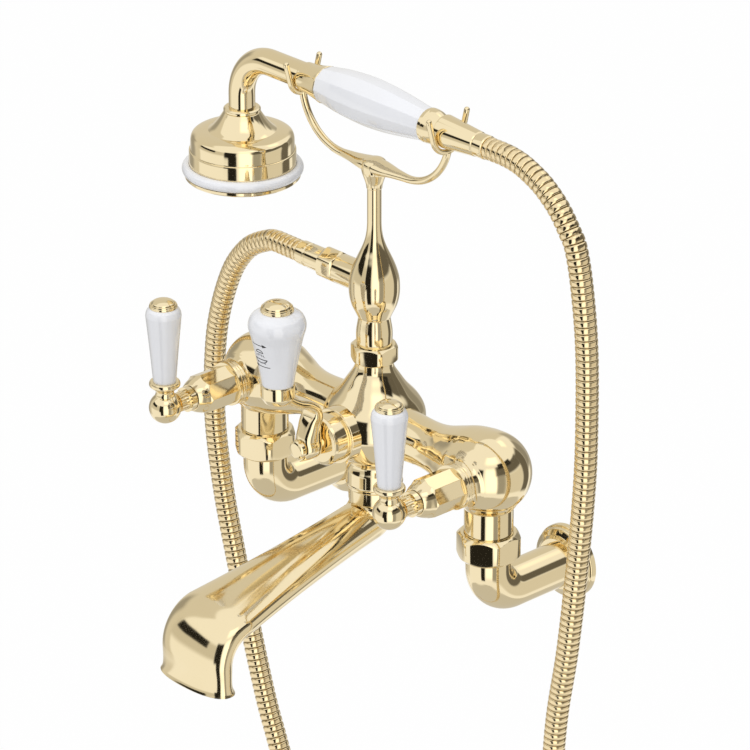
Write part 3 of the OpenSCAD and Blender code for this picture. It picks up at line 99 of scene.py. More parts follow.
# %% [markdown]
# ## Shader helper
# Node trees read best as formulas. One small class wraps a socket, so that sums and
# products of sockets add their own Math nodes, and one method makes any other node.

# %% Shader helper
class Socket:
    """A socket in a node tree, with the operators that the finishes below use."""

    def __init__(self, tree, socket):
        self.tree, self.socket = tree, socket

    def math(self, operation, *values):
        node = self.tree.nodes.new("ShaderNodeMath")
        node.operation = operation
        for i, value in enumerate(values):
            if isinstance(value, Socket):
                self.tree.links.new(value.socket, node.inputs[i])
            else:
                node.inputs[i].default_value = value
        return Socket(self.tree, node.outputs[0])

    def __add__(self, other): return self.math("ADD", self, other)
    def __radd__(self, other): return self.math("ADD", other, self)
    def __sub__(self, other): return self.math("SUBTRACT", self, other)
    def __rsub__(self, other): return self.math("SUBTRACT", other, self)
    def __mul__(self, other): return self.math("MULTIPLY", self, other)
    def __rmul__(self, other): return self.math("MULTIPLY", other, self)


class Finish:
    """A material with a Principled shader and a method that makes any node."""

    def __init__(self, name):
        self.material = bpy.data.materials.new(name)
        self.material.use_nodes = True
        self.tree = self.material.node_tree
        self.shader = self.tree.nodes["Principled BSDF"]

    def node(self, kind, settings=(), **inputs):
        """New node: its settings first, then its inputs by name, or by number as i0, i1."""
        node = self.tree.nodes.new(kind)
        for key, value in dict(settings).items():
            setattr(node, key, value)
        for key, value in inputs.items():
            numbered = key[0] == "i" and key[1:].isdigit()
            self.put(node.inputs[int(key[1:]) if numbered else key], value)
        return node

    def put(self, socket, value):
        if isinstance(value, Socket):
            self.tree.links.new(value.socket, socket)
        else:
            socket.default_value = value

    def out(self, node, name=0):
        return Socket(self.tree, node.outputs[name])

    def set(self, **inputs):
        for key, value in inputs.items():
            self.put(self.shader.inputs[key.replace("_", " ")], value)

    def noise(self, scale, detail=3.0):
        place = self.out(self.node("ShaderNodeTexCoord"), "Object")
        return self.out(self.node("ShaderNodeTexNoise", Vector=place, Scale=scale, Detail=detail), "Fac")

    def mix(self, amount, first, second):
        first, second = (c if isinstance(c, Socket) else (*c, 1) for c in (first, second))
        return self.out(self.node("ShaderNodeMix", {"data_type": "RGBA"}, i0=amount, i6=first, i7=second), 2)

    def bump(self, height, strength, distance):
        return self.out(self.node("ShaderNodeBump", Height=height, Strength=strength, Distance=distance))


print("shader helper ready")

# %% [markdown]
# ## Finishes
# The metal is a polished pale gold: fully metallic, with a slight unevenness of tone and
# polish that only shows as a soft break in the reflections. The hose is a little deeper in
# colour, and painted shade, almost black, lies at the bottom of its grooves, where no light
# gets in: its mesh carries an attribute that says how deep each point lies, which sets this
# painted shade. Porcelain is a white body under a clear glaze. The hidden pieces get their
# own plain workshop finishes.

# %% Finishes
def polished_gold(name, dark, light, roughness, groove=None):
    """Mirror-like metal; groove is the painted shade colour for the bottom of grooves, if it has any."""
    gold = Finish(name)
    gold.set(Metallic=1.0)
    tone = gold.mix(gold.noise(55.0), dark, light)
    # Painted shade: the groove colour darkens the metal towards the bottom of each groove
    if groove:
        depth = gold.out(gold.node("ShaderNodeAttribute", {"attribute_name": "groove"}), "Fac")
        tone = gold.mix(depth, tone, groove)
    gold.set(Base_Color=tone)
    gold.set(Roughness=gold.noise(160.0, 4.0) * 0.03 + roughness)
    gold.set(Normal=gold.bump(gold.noise(700.0, 2.0), 0.012, 0.0002))
    return gold.material


def glazed_porcelain():
    """White body under a clear coat."""
    glaze = Finish("white_porcelain")
    glaze.set(Base_Color=glaze.mix(glaze.noise(40.0), (0.79, 0.80, 0.835), (0.83, 0.835, 0.86)))
    glaze.set(Roughness=glaze.noise(220.0) * 0.04 + 0.08)
    glaze.set(Normal=glaze.bump(glaze.noise(90.0), 0.008, 0.0003))
    glaze.set(Coat_Weight=0.6, Coat_Roughness=0.03)
    return glaze.material


def workshop(name, dark, light, metallic, roughness, grain):
    """Plain finish with a fine grain, for pieces inside."""
    finish = Finish(name)
    finish.set(Metallic=metallic)
    finish.set(Base_Color=finish.mix(finish.noise(grain), dark, light))
    finish.set(Roughness=finish.noise(grain * 3) * 0.12 + roughness)
    finish.set(Normal=finish.bump(finish.noise(grain * 8, 4.0), 0.15, 0.0003))
    return finish.material


GOLD_TONES = (0.885, 0.745, 0.47), (0.92, 0.785, 0.515)
# The hose's groove colour is painted shade, almost black, for the bottom of its grooves
HOSE_TONES, GROOVE_PAINTED_SHADE = ((0.86, 0.695, 0.415), (0.91, 0.75, 0.465)), (0.10, 0.065, 0.02)
GOLD = polished_gold("pale_gold", *GOLD_TONES, 0.05)
SPOUT_GOLD = polished_gold("spout_gold", *GOLD_TONES, 0.08)
HOSE_GOLD = polished_gold("hose_gold", *HOSE_TONES, 0.07, GROOVE_PAINTED_SHADE)
PORCELAIN = glazed_porcelain()
RUBBER = workshop("black_rubber", (0.012, 0.012, 0.013), (0.03, 0.03, 0.032), 0.0, 0.5, 90.0)
FIBRE = workshop("brown_fibre", (0.10, 0.075, 0.05), (0.19, 0.15, 0.11), 0.0, 0.7, 260.0)
DISC = workshop("lapped_ceramic", (0.70, 0.66, 0.58), (0.80, 0.77, 0.70), 0.0, 0.2, 120.0)
STEEL = workshop("turned_steel", (0.42, 0.43, 0.45), (0.58, 0.59, 0.61), 1.0, 0.25, 300.0)
RAW_BRASS = workshop("raw_brass", (0.60, 0.42, 0.17), (0.74, 0.55, 0.25), 1.0, 0.22, 240.0)
INK = workshop("black_ink", (0.010, 0.010, 0.012), (0.022, 0.022, 0.024), 0.0, 0.35, 400.0)
print("finishes:", len(bpy.data.materials))

# %% Finishes on the solids
BY_SLOT = {"gold": GOLD, "porcelain": PORCELAIN, "rubber": RUBBER, "fibre": FIBRE, "disc": DISC,
           "steel": STEEL, "headwork": RAW_BRASS}
SLOT_OF = {s["node"]: s["material_slot"] for s in frame["record"]["subparts"]}
for node_name, node_object in frame["nodes"].items():
    if not node_object.material_slots:
        node_object.data.materials.append(None)
    for material_slot in node_object.material_slots:
        material_slot.material = BY_SLOT[SLOT_OF[node_name]]
print("solids with a finish:", len(SLOT_OF))

# %% [markdown]
# ## Shape helpers
# Almost every piece of a mixer is turned on a lathe, bent from tube or cast along a
# smooth line. A lathe turns an outline about an axis, and a loft joins rings of points.
# Corners of an outline are rounded, because a real edge always catches a thin light.

# %% Lines and outlines
def cosd(angle): return math.cos(math.radians(angle))
def sind(angle): return math.sin(math.radians(angle))
def around(count): return [2 * math.pi * k / count for k in range(count)]


def curve(points, steps=8):
    """Smooth line through the points, with the same rule as the construction model."""
    p = np.asarray(points, float)
    out = []
    for i in range(len(p) - 1):
        a, b, c, d = p[max(i - 1, 0)], p[i], p[i + 1], p[min(i + 2, len(p) - 1)]
        for k in range(steps):
            t = k / steps
            out.append(0.5 * (2 * b + (c - a) * t + (2 * a - 5 * b + 4 * c - d) * t * t
                              + (3 * b - a - 3 * c + d) * t ** 3))
    out.append(p[-1])
    return [tuple(q) for q in out]


def rounded(corners, steps=5):
    """Outline with the corners (r, h, rounding) turned into small arcs."""
    out = []
    for i, corner in enumerate(corners):
        p = np.array(corner[:2], float)
        size = corner[2] if len(corner) > 2 else 0
        if not size or i in (0, len(corners) - 1):
            out.append(tuple(p))
            continue
        u, v = np.array(corners[i - 1][:2]) - p, np.array(corners[i + 1][:2]) - p
        lu, lv = np.linalg.norm(u), np.linalg.norm(v)
        u, v = u / lu, v / lv
        half_angle = math.acos(max(-1.0, min(1.0, float(u @ v)))) / 2
        reach = min(size / math.tan(half_angle), 0.48 * lu, 0.48 * lv)
        size = reach * math.tan(half_angle)
        centre = p + (u + v) / np.linalg.norm(u + v) * size / math.sin(half_angle)
        first, last = p + u * reach - centre, p + v * reach - centre
        sweep = math.acos(max(-1.0, min(1.0, float(first @ last) / size ** 2)))
        for k in range(steps + 1):
            t = k / steps
            w = (math.sin((1 - t) * sweep) * first + math.sin(t * sweep) * last) / math.sin(sweep)
            out.append(tuple(centre + w))
    return out


def arc_points(centre, radius, first, last, steps, along, across):
    """Points of an arc, measured in degrees from one direction towards another."""
    c, a, b = (np.asarray(v, float) for v in (centre, along, across))
    return [c + radius * (cosd(t) * a + sind(t) * b) for t in np.linspace(first, last, steps + 1)]


def headings(points):
    """Direction of a line at each of its points, one long."""
    t = np.gradient(np.asarray(points, float), axis=0)
    return t / np.linalg.norm(t, axis=1)[:, None]


def distances(points):
    """Length of a line up to each of its points."""
    steps = np.linalg.norm(np.diff(np.asarray(points, float), axis=0), axis=1)
    return np.concatenate([[0], np.cumsum(steps)])


print("line helpers ready")


# %% Lathe and loft
def facing(origin, direction):
    """Matrix that puts local +Z along the direction, at the origin given in millimetres."""
    turn = Vector(direction).to_track_quat("Z", "Y").to_matrix().to_4x4()
    return Matrix.Translation(Vector(origin) * MM) @ turn


def lathe(outline, at, sides=96, flats=0, depth=0.0):
    """Turns the outline (r, h) about the local axis; flats gives that many soft facets."""
    verts, faces = [], []
    for r, h in outline:
        for a in around(sides):
            q = r
            if flats:
                s = math.pi / flats
                b = (a % (2 * s)) - s
                q = r * (1 - depth * (1 - math.cos(s) / math.cos(b)) / (1 - math.cos(s)))
            verts.append(at @ Vector((q * math.cos(a) * MM, q * math.sin(a) * MM, h * MM)))
    for j in range(len(outline) - 1):
        for k in range(sides):
            n = (k + 1) % sides
            faces.append((j * sides + k, j * sides + n, (j + 1) * sides + n, (j + 1) * sides + k))
    return verts, faces


def loft(rings, closed=False):
    """Skin over rings of points in millimetres, with a fan at each end unless it closes on itself."""
    m, n = len(rings), len(rings[0])
    verts = [Vector(p) * MM for ring in rings for p in ring]
    faces = []
    for j in range(m if closed else m - 1):
        for k in range(n):
            a, b = j * n, ((j + 1) % m) * n
            faces.append((a + k, a + (k + 1) % n, b + (k + 1) % n, b + k))
    if not closed:
        for j in (0, m - 1):
            middle = len(verts)
            verts.append(sum((verts[j * n + k] for k in range(n)), Vector()) / n)
            faces += [(j * n + k, j * n + (k + 1) % n, middle) for k in range(n)]
    return verts, faces


def tube_rings(path, radius, sides=40):
    """Round rings along a path of points; the radius is one number or one for each point."""
    p = np.asarray(path, float)
    radius = np.broadcast_to(np.asarray(radius, float), (len(p),))
    tangents = headings(p)
    side = np.cross(tangents[0], (0, 0, 1) if abs(tangents[0][2]) < 0.9 else (0, 1, 0))
    rings = []
    for centre, t, r in zip(p, tangents, radius):
        side = side - t * (side @ t)
        side /= np.linalg.norm(side)
        up = np.cross(t, side)
        rings.append([centre + r * (math.cos(a) * side + math.sin(a) * up) for a in around(sides)])
    return rings


def bar_ring(centre, heading, half_w, half_t, square, count):
    """Superellipse across a path in the plane x = 0; centre and heading are (forward, up) of the body."""
    f, u = heading
    ring = []
    for a in around(count):
        c, s = math.cos(a), math.sin(a)
        x = half_w * math.copysign(abs(c) ** (2 / square), c)
        n = half_t * math.copysign(abs(s) ** (2 / square), s)
        ring.append((x, FRONT - (centre[0] - n * u), AXIS + centre[1] + n * f))
    return ring


UP, DOWN, OUT, LEFT, RIGHT = (0, 0, 1), (0, 0, -1), (0, -1, 0), (-1, 0, 0), (1, 0, 0)
print("lathe and loft ready")

# %% Finished pieces
TRIANGLES = {}
WELD, SLIVER = 2e-6, 1e-7
FLAT_AREA, FLAT_EDGE, FLAT_CORNERS = 25 * MM * MM, 0.06 * MM, 40


def finish_piece(name, mesh, material, body, nodes, sharp):
    """Smooth object from a mesh, on its body, in the place of the solids it stands for."""
    mesh.shade_smooth()
    mesh.set_sharp_from_angle(angle=math.radians(sharp))
    mesh.materials.clear()
    mesh.materials.append(material)
    made = bpy.data.objects.new(name, mesh)
    bpy.context.collection.objects.link(made)
    if body:
        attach(made, body)
    if nodes:
        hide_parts(*nodes)
    TRIANGLES[name] = sum(len(p.vertices) - 2 for p in mesh.polygons)
    return made


def piece(name, parts, material, body, nodes=(), sharp=32.0):
    """One finished mesh from several shells: doubles merged, faces outwards, edges kept sharp."""
    verts, faces = [], []
    for v, f in parts:
        faces += [tuple(i + len(verts) for i in face) for face in f]
        verts += v
    mesh = bpy.data.meshes.new(name)
    mesh.from_pydata([tuple(v) for v in verts], [], faces)
    work = bmesh.new()
    work.from_mesh(mesh)
    bmesh.ops.remove_doubles(work, verts=work.verts, dist=WELD)
    bmesh.ops.dissolve_degenerate(work, edges=work.edges, dist=SLIVER)
    bmesh.ops.recalc_face_normals(work, faces=work.faces)
    work.to_mesh(mesh)
    work.free()
    return finish_piece(name, mesh, material, body, nodes, sharp)


def turned(name, node, outline, at, body, sides=96):
    """Gold piece made on the lathe, in the place of one solid."""
    return piece(name, [lathe(outline, at, sides)], GOLD, body, (node,))


def glazed(name, node, outline, at, body, sides=96, flats=0, depth=0.0):
    """Porcelain piece made on the lathe, in the place of one solid."""
    return piece(name, [lathe(outline, at, sides, flats, depth)], PORCELAIN, body, (node,), 50.0)


def dressed(node, body, bevel=0.0, sharp=28.0):
    """Smooth copy of a solid whose shape is already right, with its edges eased."""
    mesh = frame["nodes"][node].data.copy()
    work = bmesh.new()
    work.from_mesh(mesh)
    bmesh.ops.remove_doubles(work, verts=work.verts, dist=WELD)
    bmesh.ops.dissolve_limit(work, angle_limit=math.radians(0.4), verts=work.verts, edges=work.edges)
    if bevel:
        edges = [e for e in work.edges if len(e.link_faces) == 2 and e.calc_face_angle() > math.radians(sharp)]
        bmesh.ops.bevel(work, geom=edges, offset=bevel * MM, segments=2, profile=0.6, affect="EDGES",
                        clamp_overlap=True)
        # A narrow rim keeps the shading of each large flat even
        flats = [f for f in work.faces if len(f.verts) < FLAT_CORNERS and f.calc_area() > FLAT_AREA]
        bmesh.ops.inset_individual(work, faces=flats, thickness=FLAT_EDGE, use_even_offset=True)
    work.to_mesh(mesh)
    work.free()
    return finish_piece(node + "_dressed", mesh, GOLD, body, (node,), sharp)


print("piece helpers ready")

# %% [markdown]
# ## Hose
# The hose is a strip of metal wound into a tight interlocked spiral, 1.5 m long and
# 12.2 mm thick. It leaves the ferrule on the pillar, hangs in a long loop and climbs to
# the handset. A Geometry Nodes tree sweeps a tube along the route and presses a groove
# into it every 3.65 mm, so that round-shouldered bands stay between the grooves as on the
# real winding. Each band gets eight rings of points, crowded at the groove, where the
# shape turns sharply. The tree also stores how deep each point lies, which the finish
# turns into painted shade at the bottom of the grooves.

# %% Hose route
route = [(-85, 153), (-100, 145), (-112, 132), (-120, 117), (-127, 97), (-131, 77), (-133, 49), (-132, 21),
         (-126, -15), (-117, -50), (-102, -102), (-91, -137), (-81, -162), (-54, -232), (-28, -305), (0, -378),
         (32, -432), (68, -454.7), (102, -436), (121, -385), (130, -305), (135, -220), (139, -140),
         (143, -63), (151, -11), (157, 41), (161, 87), (162, 121), (161, 166), (157, 199), (152, 221),
         (146.5, 230.2), (140, 238.6), (133, 245), (125, 250.4), (114, 255.2), (107, 257)]
HOSE_LENGTH, HOSE_D, HOSE_PITCH, GROOVE_DEPTH = 1.5, 12.2, 3.65, 0.85
HOSE_SIDES, BAND_RINGS = 24, 8
lead = HOSE_D * 1.15
start, stop = (-58.0, 154.5), (87.0, 258.0)
line = [start, (start[0] - lead, start[1])]
line += curve([(start[0] - lead - 6, start[1])] + route + [(101.0, 257.8)], 8)
line += [(96.0, stop[1]), stop]
hose_path = [(x * MM, FRONT * MM, z * MM) for x, z in line]
route_length = sum(math.dist(a, b) for a, b in zip(hose_path, hose_path[1:]))
print("hose route", round(route_length, 4), "m")


# %% Hose tree
CROWDING, GROOVE_WIDTH, GROOVE_SHADE = 0.8, 2.6, 2.2


def hose_tree():
    """Tube along a line, with a groove pressed in at every turn of the winding."""
    tree = bpy.data.node_groups.new("wound_hose", "GeometryNodeTree")
    face = tree.interface
    for label, kind in (("Line", "Geometry"), ("Rings", "Int"), ("Radius", "Float"), ("Pitch", "Float"),
                        ("Groove", "Float"), ("Metal", "Material")):
        face.new_socket(label, in_out="INPUT", socket_type="NodeSocket" + kind)
    face.new_socket("Hose", in_out="OUTPUT", socket_type="NodeSocketGeometry")
    join = tree.links.new

    def add(kind, **settings):
        node = tree.nodes.new(kind)
        for key, value in settings.items():
            setattr(node, key, value)
        return node

    def value(operation, *inputs):
        node = add("ShaderNodeMath", operation=operation)
        for i, x in enumerate(inputs):
            if isinstance(x, (int, float)):
                node.inputs[i].default_value = x
            else:
                join(x, node.inputs[i])
        return node.outputs[0]

    def moved(geometry, direction, amount):
        offset, node = add("ShaderNodeVectorMath", operation="SCALE"), add("GeometryNodeSetPosition")
        join(add(direction).outputs[0], offset.inputs[0])
        join(amount, offset.inputs["Scale"])
        join(geometry, node.inputs["Geometry"])
        join(offset.outputs[0], node.inputs["Offset"])
        return node.outputs[0]

    given, result = add("NodeGroupInput"), add("NodeGroupOutput")
    resample = add("GeometryNodeResampleCurve")
    join(given.outputs["Line"], resample.inputs["Curve"])
    join(given.outputs["Rings"], resample.inputs["Count"])
    turn = value("MULTIPLY", add("GeometryNodeInputIndex").outputs[0], 2 * math.pi / BAND_RINGS)
    crowd = value("MULTIPLY", value("SINE", turn), given.outputs["Pitch"])
    crowd = value("MULTIPLY", crowd, -CROWDING / (2 * math.pi))
    crowded = moved(resample.outputs[0], "GeometryNodeInputTangent", crowd)
    kept = add("GeometryNodeCaptureAttribute")
    kept.capture_items.new("FLOAT", "groove")
    join(crowded, kept.inputs["Geometry"])
    join(value("POWER", value("MULTIPLY_ADD", value("COSINE", turn), 0.5, 0.5), GROOVE_WIDTH),
         kept.inputs["groove"])
    circle = add("GeometryNodeCurvePrimitiveCircle")
    circle.inputs["Resolution"].default_value = HOSE_SIDES
    join(given.outputs["Radius"], circle.inputs["Radius"])
    tube = add("GeometryNodeCurveToMesh")
    join(kept.outputs["Geometry"], tube.inputs["Curve"])
    join(circle.outputs[0], tube.inputs["Profile Curve"])
    tube.inputs["Fill Caps"].default_value = True
    depth = value("MULTIPLY", value("MULTIPLY", kept.outputs["groove"], given.outputs["Groove"]), -1.0)
    pressed = moved(tube.outputs[0], "GeometryNodeInputNormal", depth)
    # Painted shade mask: near 1 at the bottom of each groove, where the finish darkens the metal
    named = add("GeometryNodeStoreNamedAttribute", data_type="FLOAT", domain="POINT")
    named.inputs["Name"].default_value = "groove"
    join(pressed, named.inputs["Geometry"])
    join(value("POWER", kept.outputs["groove"], GROOVE_SHADE), named.inputs["Value"])
    realize, metal = add("GeometryNodeRealizeInstances"), add("GeometryNodeSetMaterial")
    join(named.outputs[0], realize.inputs[0])
    join(realize.outputs[0], metal.inputs["Geometry"])
    join(given.outputs["Metal"], metal.inputs["Material"])
    join(metal.outputs[0], result.inputs[0])
    return tree


def run_tree(name, source, tree, **values):
    """Evaluates a node tree on an object and returns the result as a plain mesh."""
    modifier = source.modifiers.new("grow", "NODES")
    modifier.node_group = tree
    for item in tree.interface.items_tree:
        if item.in_out == "INPUT" and item.name in values:
            modifier[item.identifier] = values[item.name]
    bpy.context.view_layer.update()
    mesh = bpy.data.meshes.new_from_object(source.evaluated_get(bpy.context.evaluated_depsgraph_get()))
    mesh.name = name
    source.modifiers.remove(modifier)
    bpy.data.objects.remove(source)
    return mesh


print("hose tree ready")

# %% Hose
hose_line = bpy.data.curves.new("hose_line", "CURVE")
hose_line.dimensions = "3D"
spline = hose_line.splines.new("POLY")
spline.points.add(len(hose_path) - 1)
for point, place in zip(spline.points, hose_path):
    point.co = (*place, 1)
line_object = bpy.data.objects.new("hose_line", hose_line)
bpy.context.collection.objects.link(line_object)
bands = round(route_length / (HOSE_PITCH * MM))
hose_mesh = run_tree("wound_hose", line_object, hose_tree(), Rings=bands * BAND_RINGS + 1, Radius=HOSE_D / 2 * MM,
                     Pitch=route_length / bands, Groove=GROOVE_DEPTH * MM, Metal=HOSE_GOLD)
hose = finish_piece("wound_hose", hose_mesh, HOSE_GOLD, None, ("hose",), 60.0)
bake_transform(hose)
print("hose:", bands, "bands,", TRIANGLES["wound_hose"], "triangles")

# %% [markdown]
# ## Body casting
# The body is one casting: a bell in the middle, two arms that swell into balls, a short
# neck for each valve, a tail under each ball, a boss for the spout and a round housing
# for the diverter. Each of these is turned, and where a neck or a tail leaves its ball
# the outline flares out, so the joint has the soft fillet of a cast and polished piece.

# %% Body outlines
body_at = (0, FRONT, AXIS)
BALL_R, WAIST_R, ARM_R = 23.0, 10.6, 13.3
bell_curve = curve([(WAIST_R + 17.7 * s, 33.5 * k) for s, k in
                    ((0, 1), (0.06, 0.92), (0.22, 0.79), (0.44, 0.62), (0.77, 0.42), (0.95, 0.25), (1, 0.08),
                     (0.97, -0.14))] + [(22.07, -16.17), (14.26, -23.1), (15.5, -28.5)], 10)
bell = [(0, 41.5), (WAIST_R, 41.5)] + bell_curve + rounded(
    [(15.5, -29), (15.5, -35.6, 0.3), (15.9, -36.2, 0.5), (15.5, -36.9, 0.3), (15.5, -38.5, 0.5),
     (9.55, -38.5)]) + [(9.55, -28), (0, -28)]
arm_curve = curve([(ARM_R + 9.7 * s, HALF * k) for k, s in
                   ((0.2, 0.16), (0.36, 0.03), (0.5, 0), (0.61, 0.15), (0.72, 0.48), (0.83, 0.81), (0.93, 0.97))], 8)
arm_half = arm_curve + [(BALL_R * sind(a), HALF + BALL_R * cosd(a)) for a in np.linspace(90, 0, 40)]
arms = [(r, -h) for r, h in reversed(arm_half)] + arm_half


def flare(radius, reach):
    """Outline of a tail that leaves the ball in a soft fillet, from the ball out to the reach."""
    lift = math.sqrt(BALL_R ** 2 - (radius + 3.6) ** 2)
    level = math.sqrt(BALL_R ** 2 - radius ** 2) + 1.8
    return [(0, lift - 2), (radius + 3.4, lift - 2)] + curve(
        [(radius + 3.6, lift - 0.05), (radius + 1.5, level - 1.9), (radius + 0.35, level - 0.5),
         (radius, level + 0.6), (radius, reach)], 6)


neck = [(0, 15), (15.4, 15)] + curve(
    [(15.3, 16.9), (14.6, 17.8), (13.4, 19.0), (12.7, 20.3), (12.3, 21.5), (12.1, 22.5)], 6)
neck += rounded([(12.1, 22.6), (12.4, 22.9, 0.2), (12.4, 24.1, 0.25), (12.0, 24.3, 0.1), (12.4, 24.6, 0.25),
                 (12.4, 26.0, 0.3), (9.0, 26.0)]) + [(9.0, 20), (0, 20)]
tail = flare(13.4, 41.0) + [(13.4, 41), (13.4, 42), (6, 42), (6, 30), (0, 30)]
housing = rounded([(0, 12), (15.5, 12), (15.5, 29.8, 0.3), (15.1, 30.2, 0.2), (15.5, 30.5, 0.3), (15.5, 31, 0.3),
                   (0, 31)])
print("body outlines:", len(bell), len(arms), len(neck), len(tail), "points")

# %% Body casting
shells = [lathe(bell, facing(body_at, UP), 160), lathe(arms, facing(body_at, RIGHT), 128)]
for side in (-1, 1):
    ball_at = (side * HALF, FRONT, AXIS)
    shells += [lathe(neck, facing(ball_at, OUT)), lathe(tail, facing(ball_at, DOWN))]
shells.append(lathe(housing, facing(body_at, OUT)))
piece("body", shells, GOLD, "mixer", ("body_casting",))
print("body:", TRIANGLES["body"], "triangles")

# %% [markdown]
# ## Unions, elbows and wall flanges
# Each inlet is a bent pipe between a union nut under the ball and a stepped flange on the
# wall. The pipe is a tube with a bore, swept round its bend, so that its open end shows
# from behind. The nuts keep the solid's own flats and only get eased edges.

# %% Unions, elbows and flanges
PIPE_R, BORE_R, MOUTH_R, MOUTH_L, PIPE_TOP, BEND = 12.4, 8.9, 9.3, 14.0, 29.0, 17.0


def elbow(side):
    """Pipe from the union nut round the bend to the wall, with a wider bore at the wall."""
    x = side * HALF
    path = [(x, FRONT, z) for z in np.linspace(PIPE_TOP, BEND, 6)]
    path += arc_points((x, FRONT + BEND, BEND), BEND, 180, 270, 24, (0, 1, 0), UP)[1:]
    path += [(x, y, 0) for y in np.linspace(FRONT + BEND, 0, 10)][1:]
    outer = tube_rings(path, PIPE_R, 64)
    inner = tube_rings(path, [MOUTH_R if p[1] > -MOUTH_L else BORE_R for p in path], 64)
    return loft(outer + inner[::-1], closed=True)


flange = [(12.45, 9.5), (12.45, 0), (14.85, 0), (14.85, 1.2), (18.85, 1.2), (18.85, 0)] + rounded(
    [(20.6, 0), (21, 0.4), (21, 3.4, 1.4), (19.7, 4.2, 0.5), (19.7, 6.2, 1.2), (16.2, 8.0, 3.0), (14.6, 9.5, 0.6),
     (12.45, 9.5)])
for side, label in ((-1, "left"), (1, "right")):
    piece(label + "_bent_pipe", [elbow(side)], GOLD, "mixer", (label + "_elbow",))
    turned(label + "_wall_flange", label + "_flange", flange, facing((side * HALF, 0, 0), OUT), "mixer", 128)
    dressed(label + "_union_nut", "mixer", bevel=0.35)
print("elbows:", TRIANGLES["left_bent_pipe"], "triangles each")

# %% [markdown]
# ## Valves and lever handles
# An eight-sided bonnet screws on each valve neck, and a ribbed sleeve on the spindle carries
# the lever. The lever is a ball with a saucer on top, a tapered porcelain grip and a
# stepped metal cap. The outlines follow the construction model with rounded edges.

# %% Valves and levers
STUD_R = 2.55
LEVER_OUT, LEVER_BALL, LEVER_NECK, LEVER_SEAT, GRIP_L = 73.0, 9.0, 5.45, 15.3, 44.7


def cap_outline(r, band, dome):
    """Cap with a double rim and a low dome."""
    rim = rounded([(0, 0), (r - 0.2, 0), (r, 0.3, 0.2), (r, band * 0.52, 0.5), (r - 0.3, band * 0.58, 0.1),
                   (r - 0.25, band * 0.7, 0.3), (r - 0.5, band, 0.4), (r - 1.1, band * 0.96, 0.15)])
    return rim + [((r - 1.15) * cosd(t), band * 0.92 + dome * sind(t)) for t in np.linspace(4, 90, 18)]


ball_angle = math.degrees(math.acos(LEVER_NECK / LEVER_BALL))
lever_base = [(LEVER_BALL * cosd(a), LEVER_BALL * sind(a)) for a in np.linspace(-90, ball_angle, 40)]
lever_base += curve([(LEVER_NECK, 7.7), (5.15, 8.8), (5.2, 10.2), (6.1, 11.6), (7.6, 12.5), (8.5, 13.5),
                     (8.65, 14.6), (8.3, 15.7), (7.6, 16.1)], 6)
lever_base += [(6.45, 16.1), (6.45, LEVER_SEAT), (0, LEVER_SEAT)]
lever_grip = [(STUD_R, 0), (6.2, 0)] + curve([(6.4, 0.8), (8.05, 20.1), (9.7, 37.5), (9.85, 40.7), (9.15, 43.1),
                                              (7.8, GRIP_L)], 10) + [(STUD_R, GRIP_L)]
for side, label in ((-1, "left"), (1, "right")):
    body = label + "_lever"
    foot, seat, top = (facing((side * HALF, FRONT - LEVER_OUT, AXIS + z), UP)
                       for z in (0, LEVER_SEAT, LEVER_SEAT + GRIP_L))
    dressed(label + "_bonnet", "mixer", bevel=0.3)
    dressed(label + "_spindle", body)
    turned(label + "_lever_foot", label + "_lever_base", lever_base, foot, body)
    glazed(label + "_lever_porcelain", label + "_lever_grip", lever_grip, seat, body)
    turned(label + "_lever_top", label + "_lever_cap", cap_outline(7.8, 2.3, 2.6), top, body)
print("lever foot:", TRIANGLES["left_lever_foot"], "triangles")

# %% [markdown]
# ## Diverter
# The diverter has a round bonnet, a cast crank that rises in an S from its hub to a
# collar, a button-headed screw and a pear-shaped porcelain knob. The crank is lofted:
# rings follow the middle line and change from a thick round hub to a thin, squarer strip.

# %% Diverter
KNOB_OUT, KNOB_SEAT, KNOB_L = 70.3, 43.0, 43.0
HUB_R, STRIP_W = 7.5, 6.5
crank_line = curve([(48.5, -7.45), (48.5, -4), (48.4, 4), (47.3, 12), (45.7, 17.5), (46.7, 22.4), (51.5, 26.2),
                    (58.5, 29.2), (64.5, 33.0), (KNOB_OUT, 38.0)], 8)
crank_rings = []
for centre, heading in zip(crank_line, headings(crank_line)):
    z = centre[1]
    half_w = math.sqrt(max(0.3, HUB_R ** 2 - z ** 2)) if z < 3.5 else STRIP_W
    half_t = float(np.interp(z, [-7.5, 6, 17, 24, 40], [6.7, 6.6, 4.0, 2.7, 2.5]))
    square = float(np.interp(z, [10, 28], [2.3, 4.0]))
    crank_rings.append(bar_ring(centre, heading, half_w, half_t, square, 48))
collar = rounded([(0, 32.3), (7.0, 32.5, 3.0), (9.3, 36.4, 3.5), (9.3, 43.0, 0.5), (9.0, 43.8, 0.3), (8.75, 43.8),
                  (8.75, KNOB_SEAT), (0, KNOB_SEAT)])
bonnet = rounded([(0, 31), (14, 31.05, 0.2), (14, 39.2, 1.2), (13.2, 40.8, 0.8), (11.4, 41.5, 0.5), (0, 41.5)])
screw = rounded([(0, 44.9), (2, 44.9), (2, 55.0), (5.4, 55.0), (5.4, 57.1, 0.5), (4.7, 57.9, 0.5), (3.9, 58.3, 1.0),
                 (0, 58.8)])
knob_side = curve([(8.7, 0.8), (10.8, 12.9), (13.7, 26.7), (15.65, 34.8), (14.05, 40.0), (10.6, 42.4),
                   (9.0, KNOB_L)], 12)
knob = [(STUD_R, 0), (8.5, 0)] + knob_side + [(STUD_R, KNOB_L)]
knob_base, knob_seat, knob_top = (facing((0, FRONT - KNOB_OUT, AXIS + z), UP)
                                  for z in (0, KNOB_SEAT, KNOB_SEAT + KNOB_L))
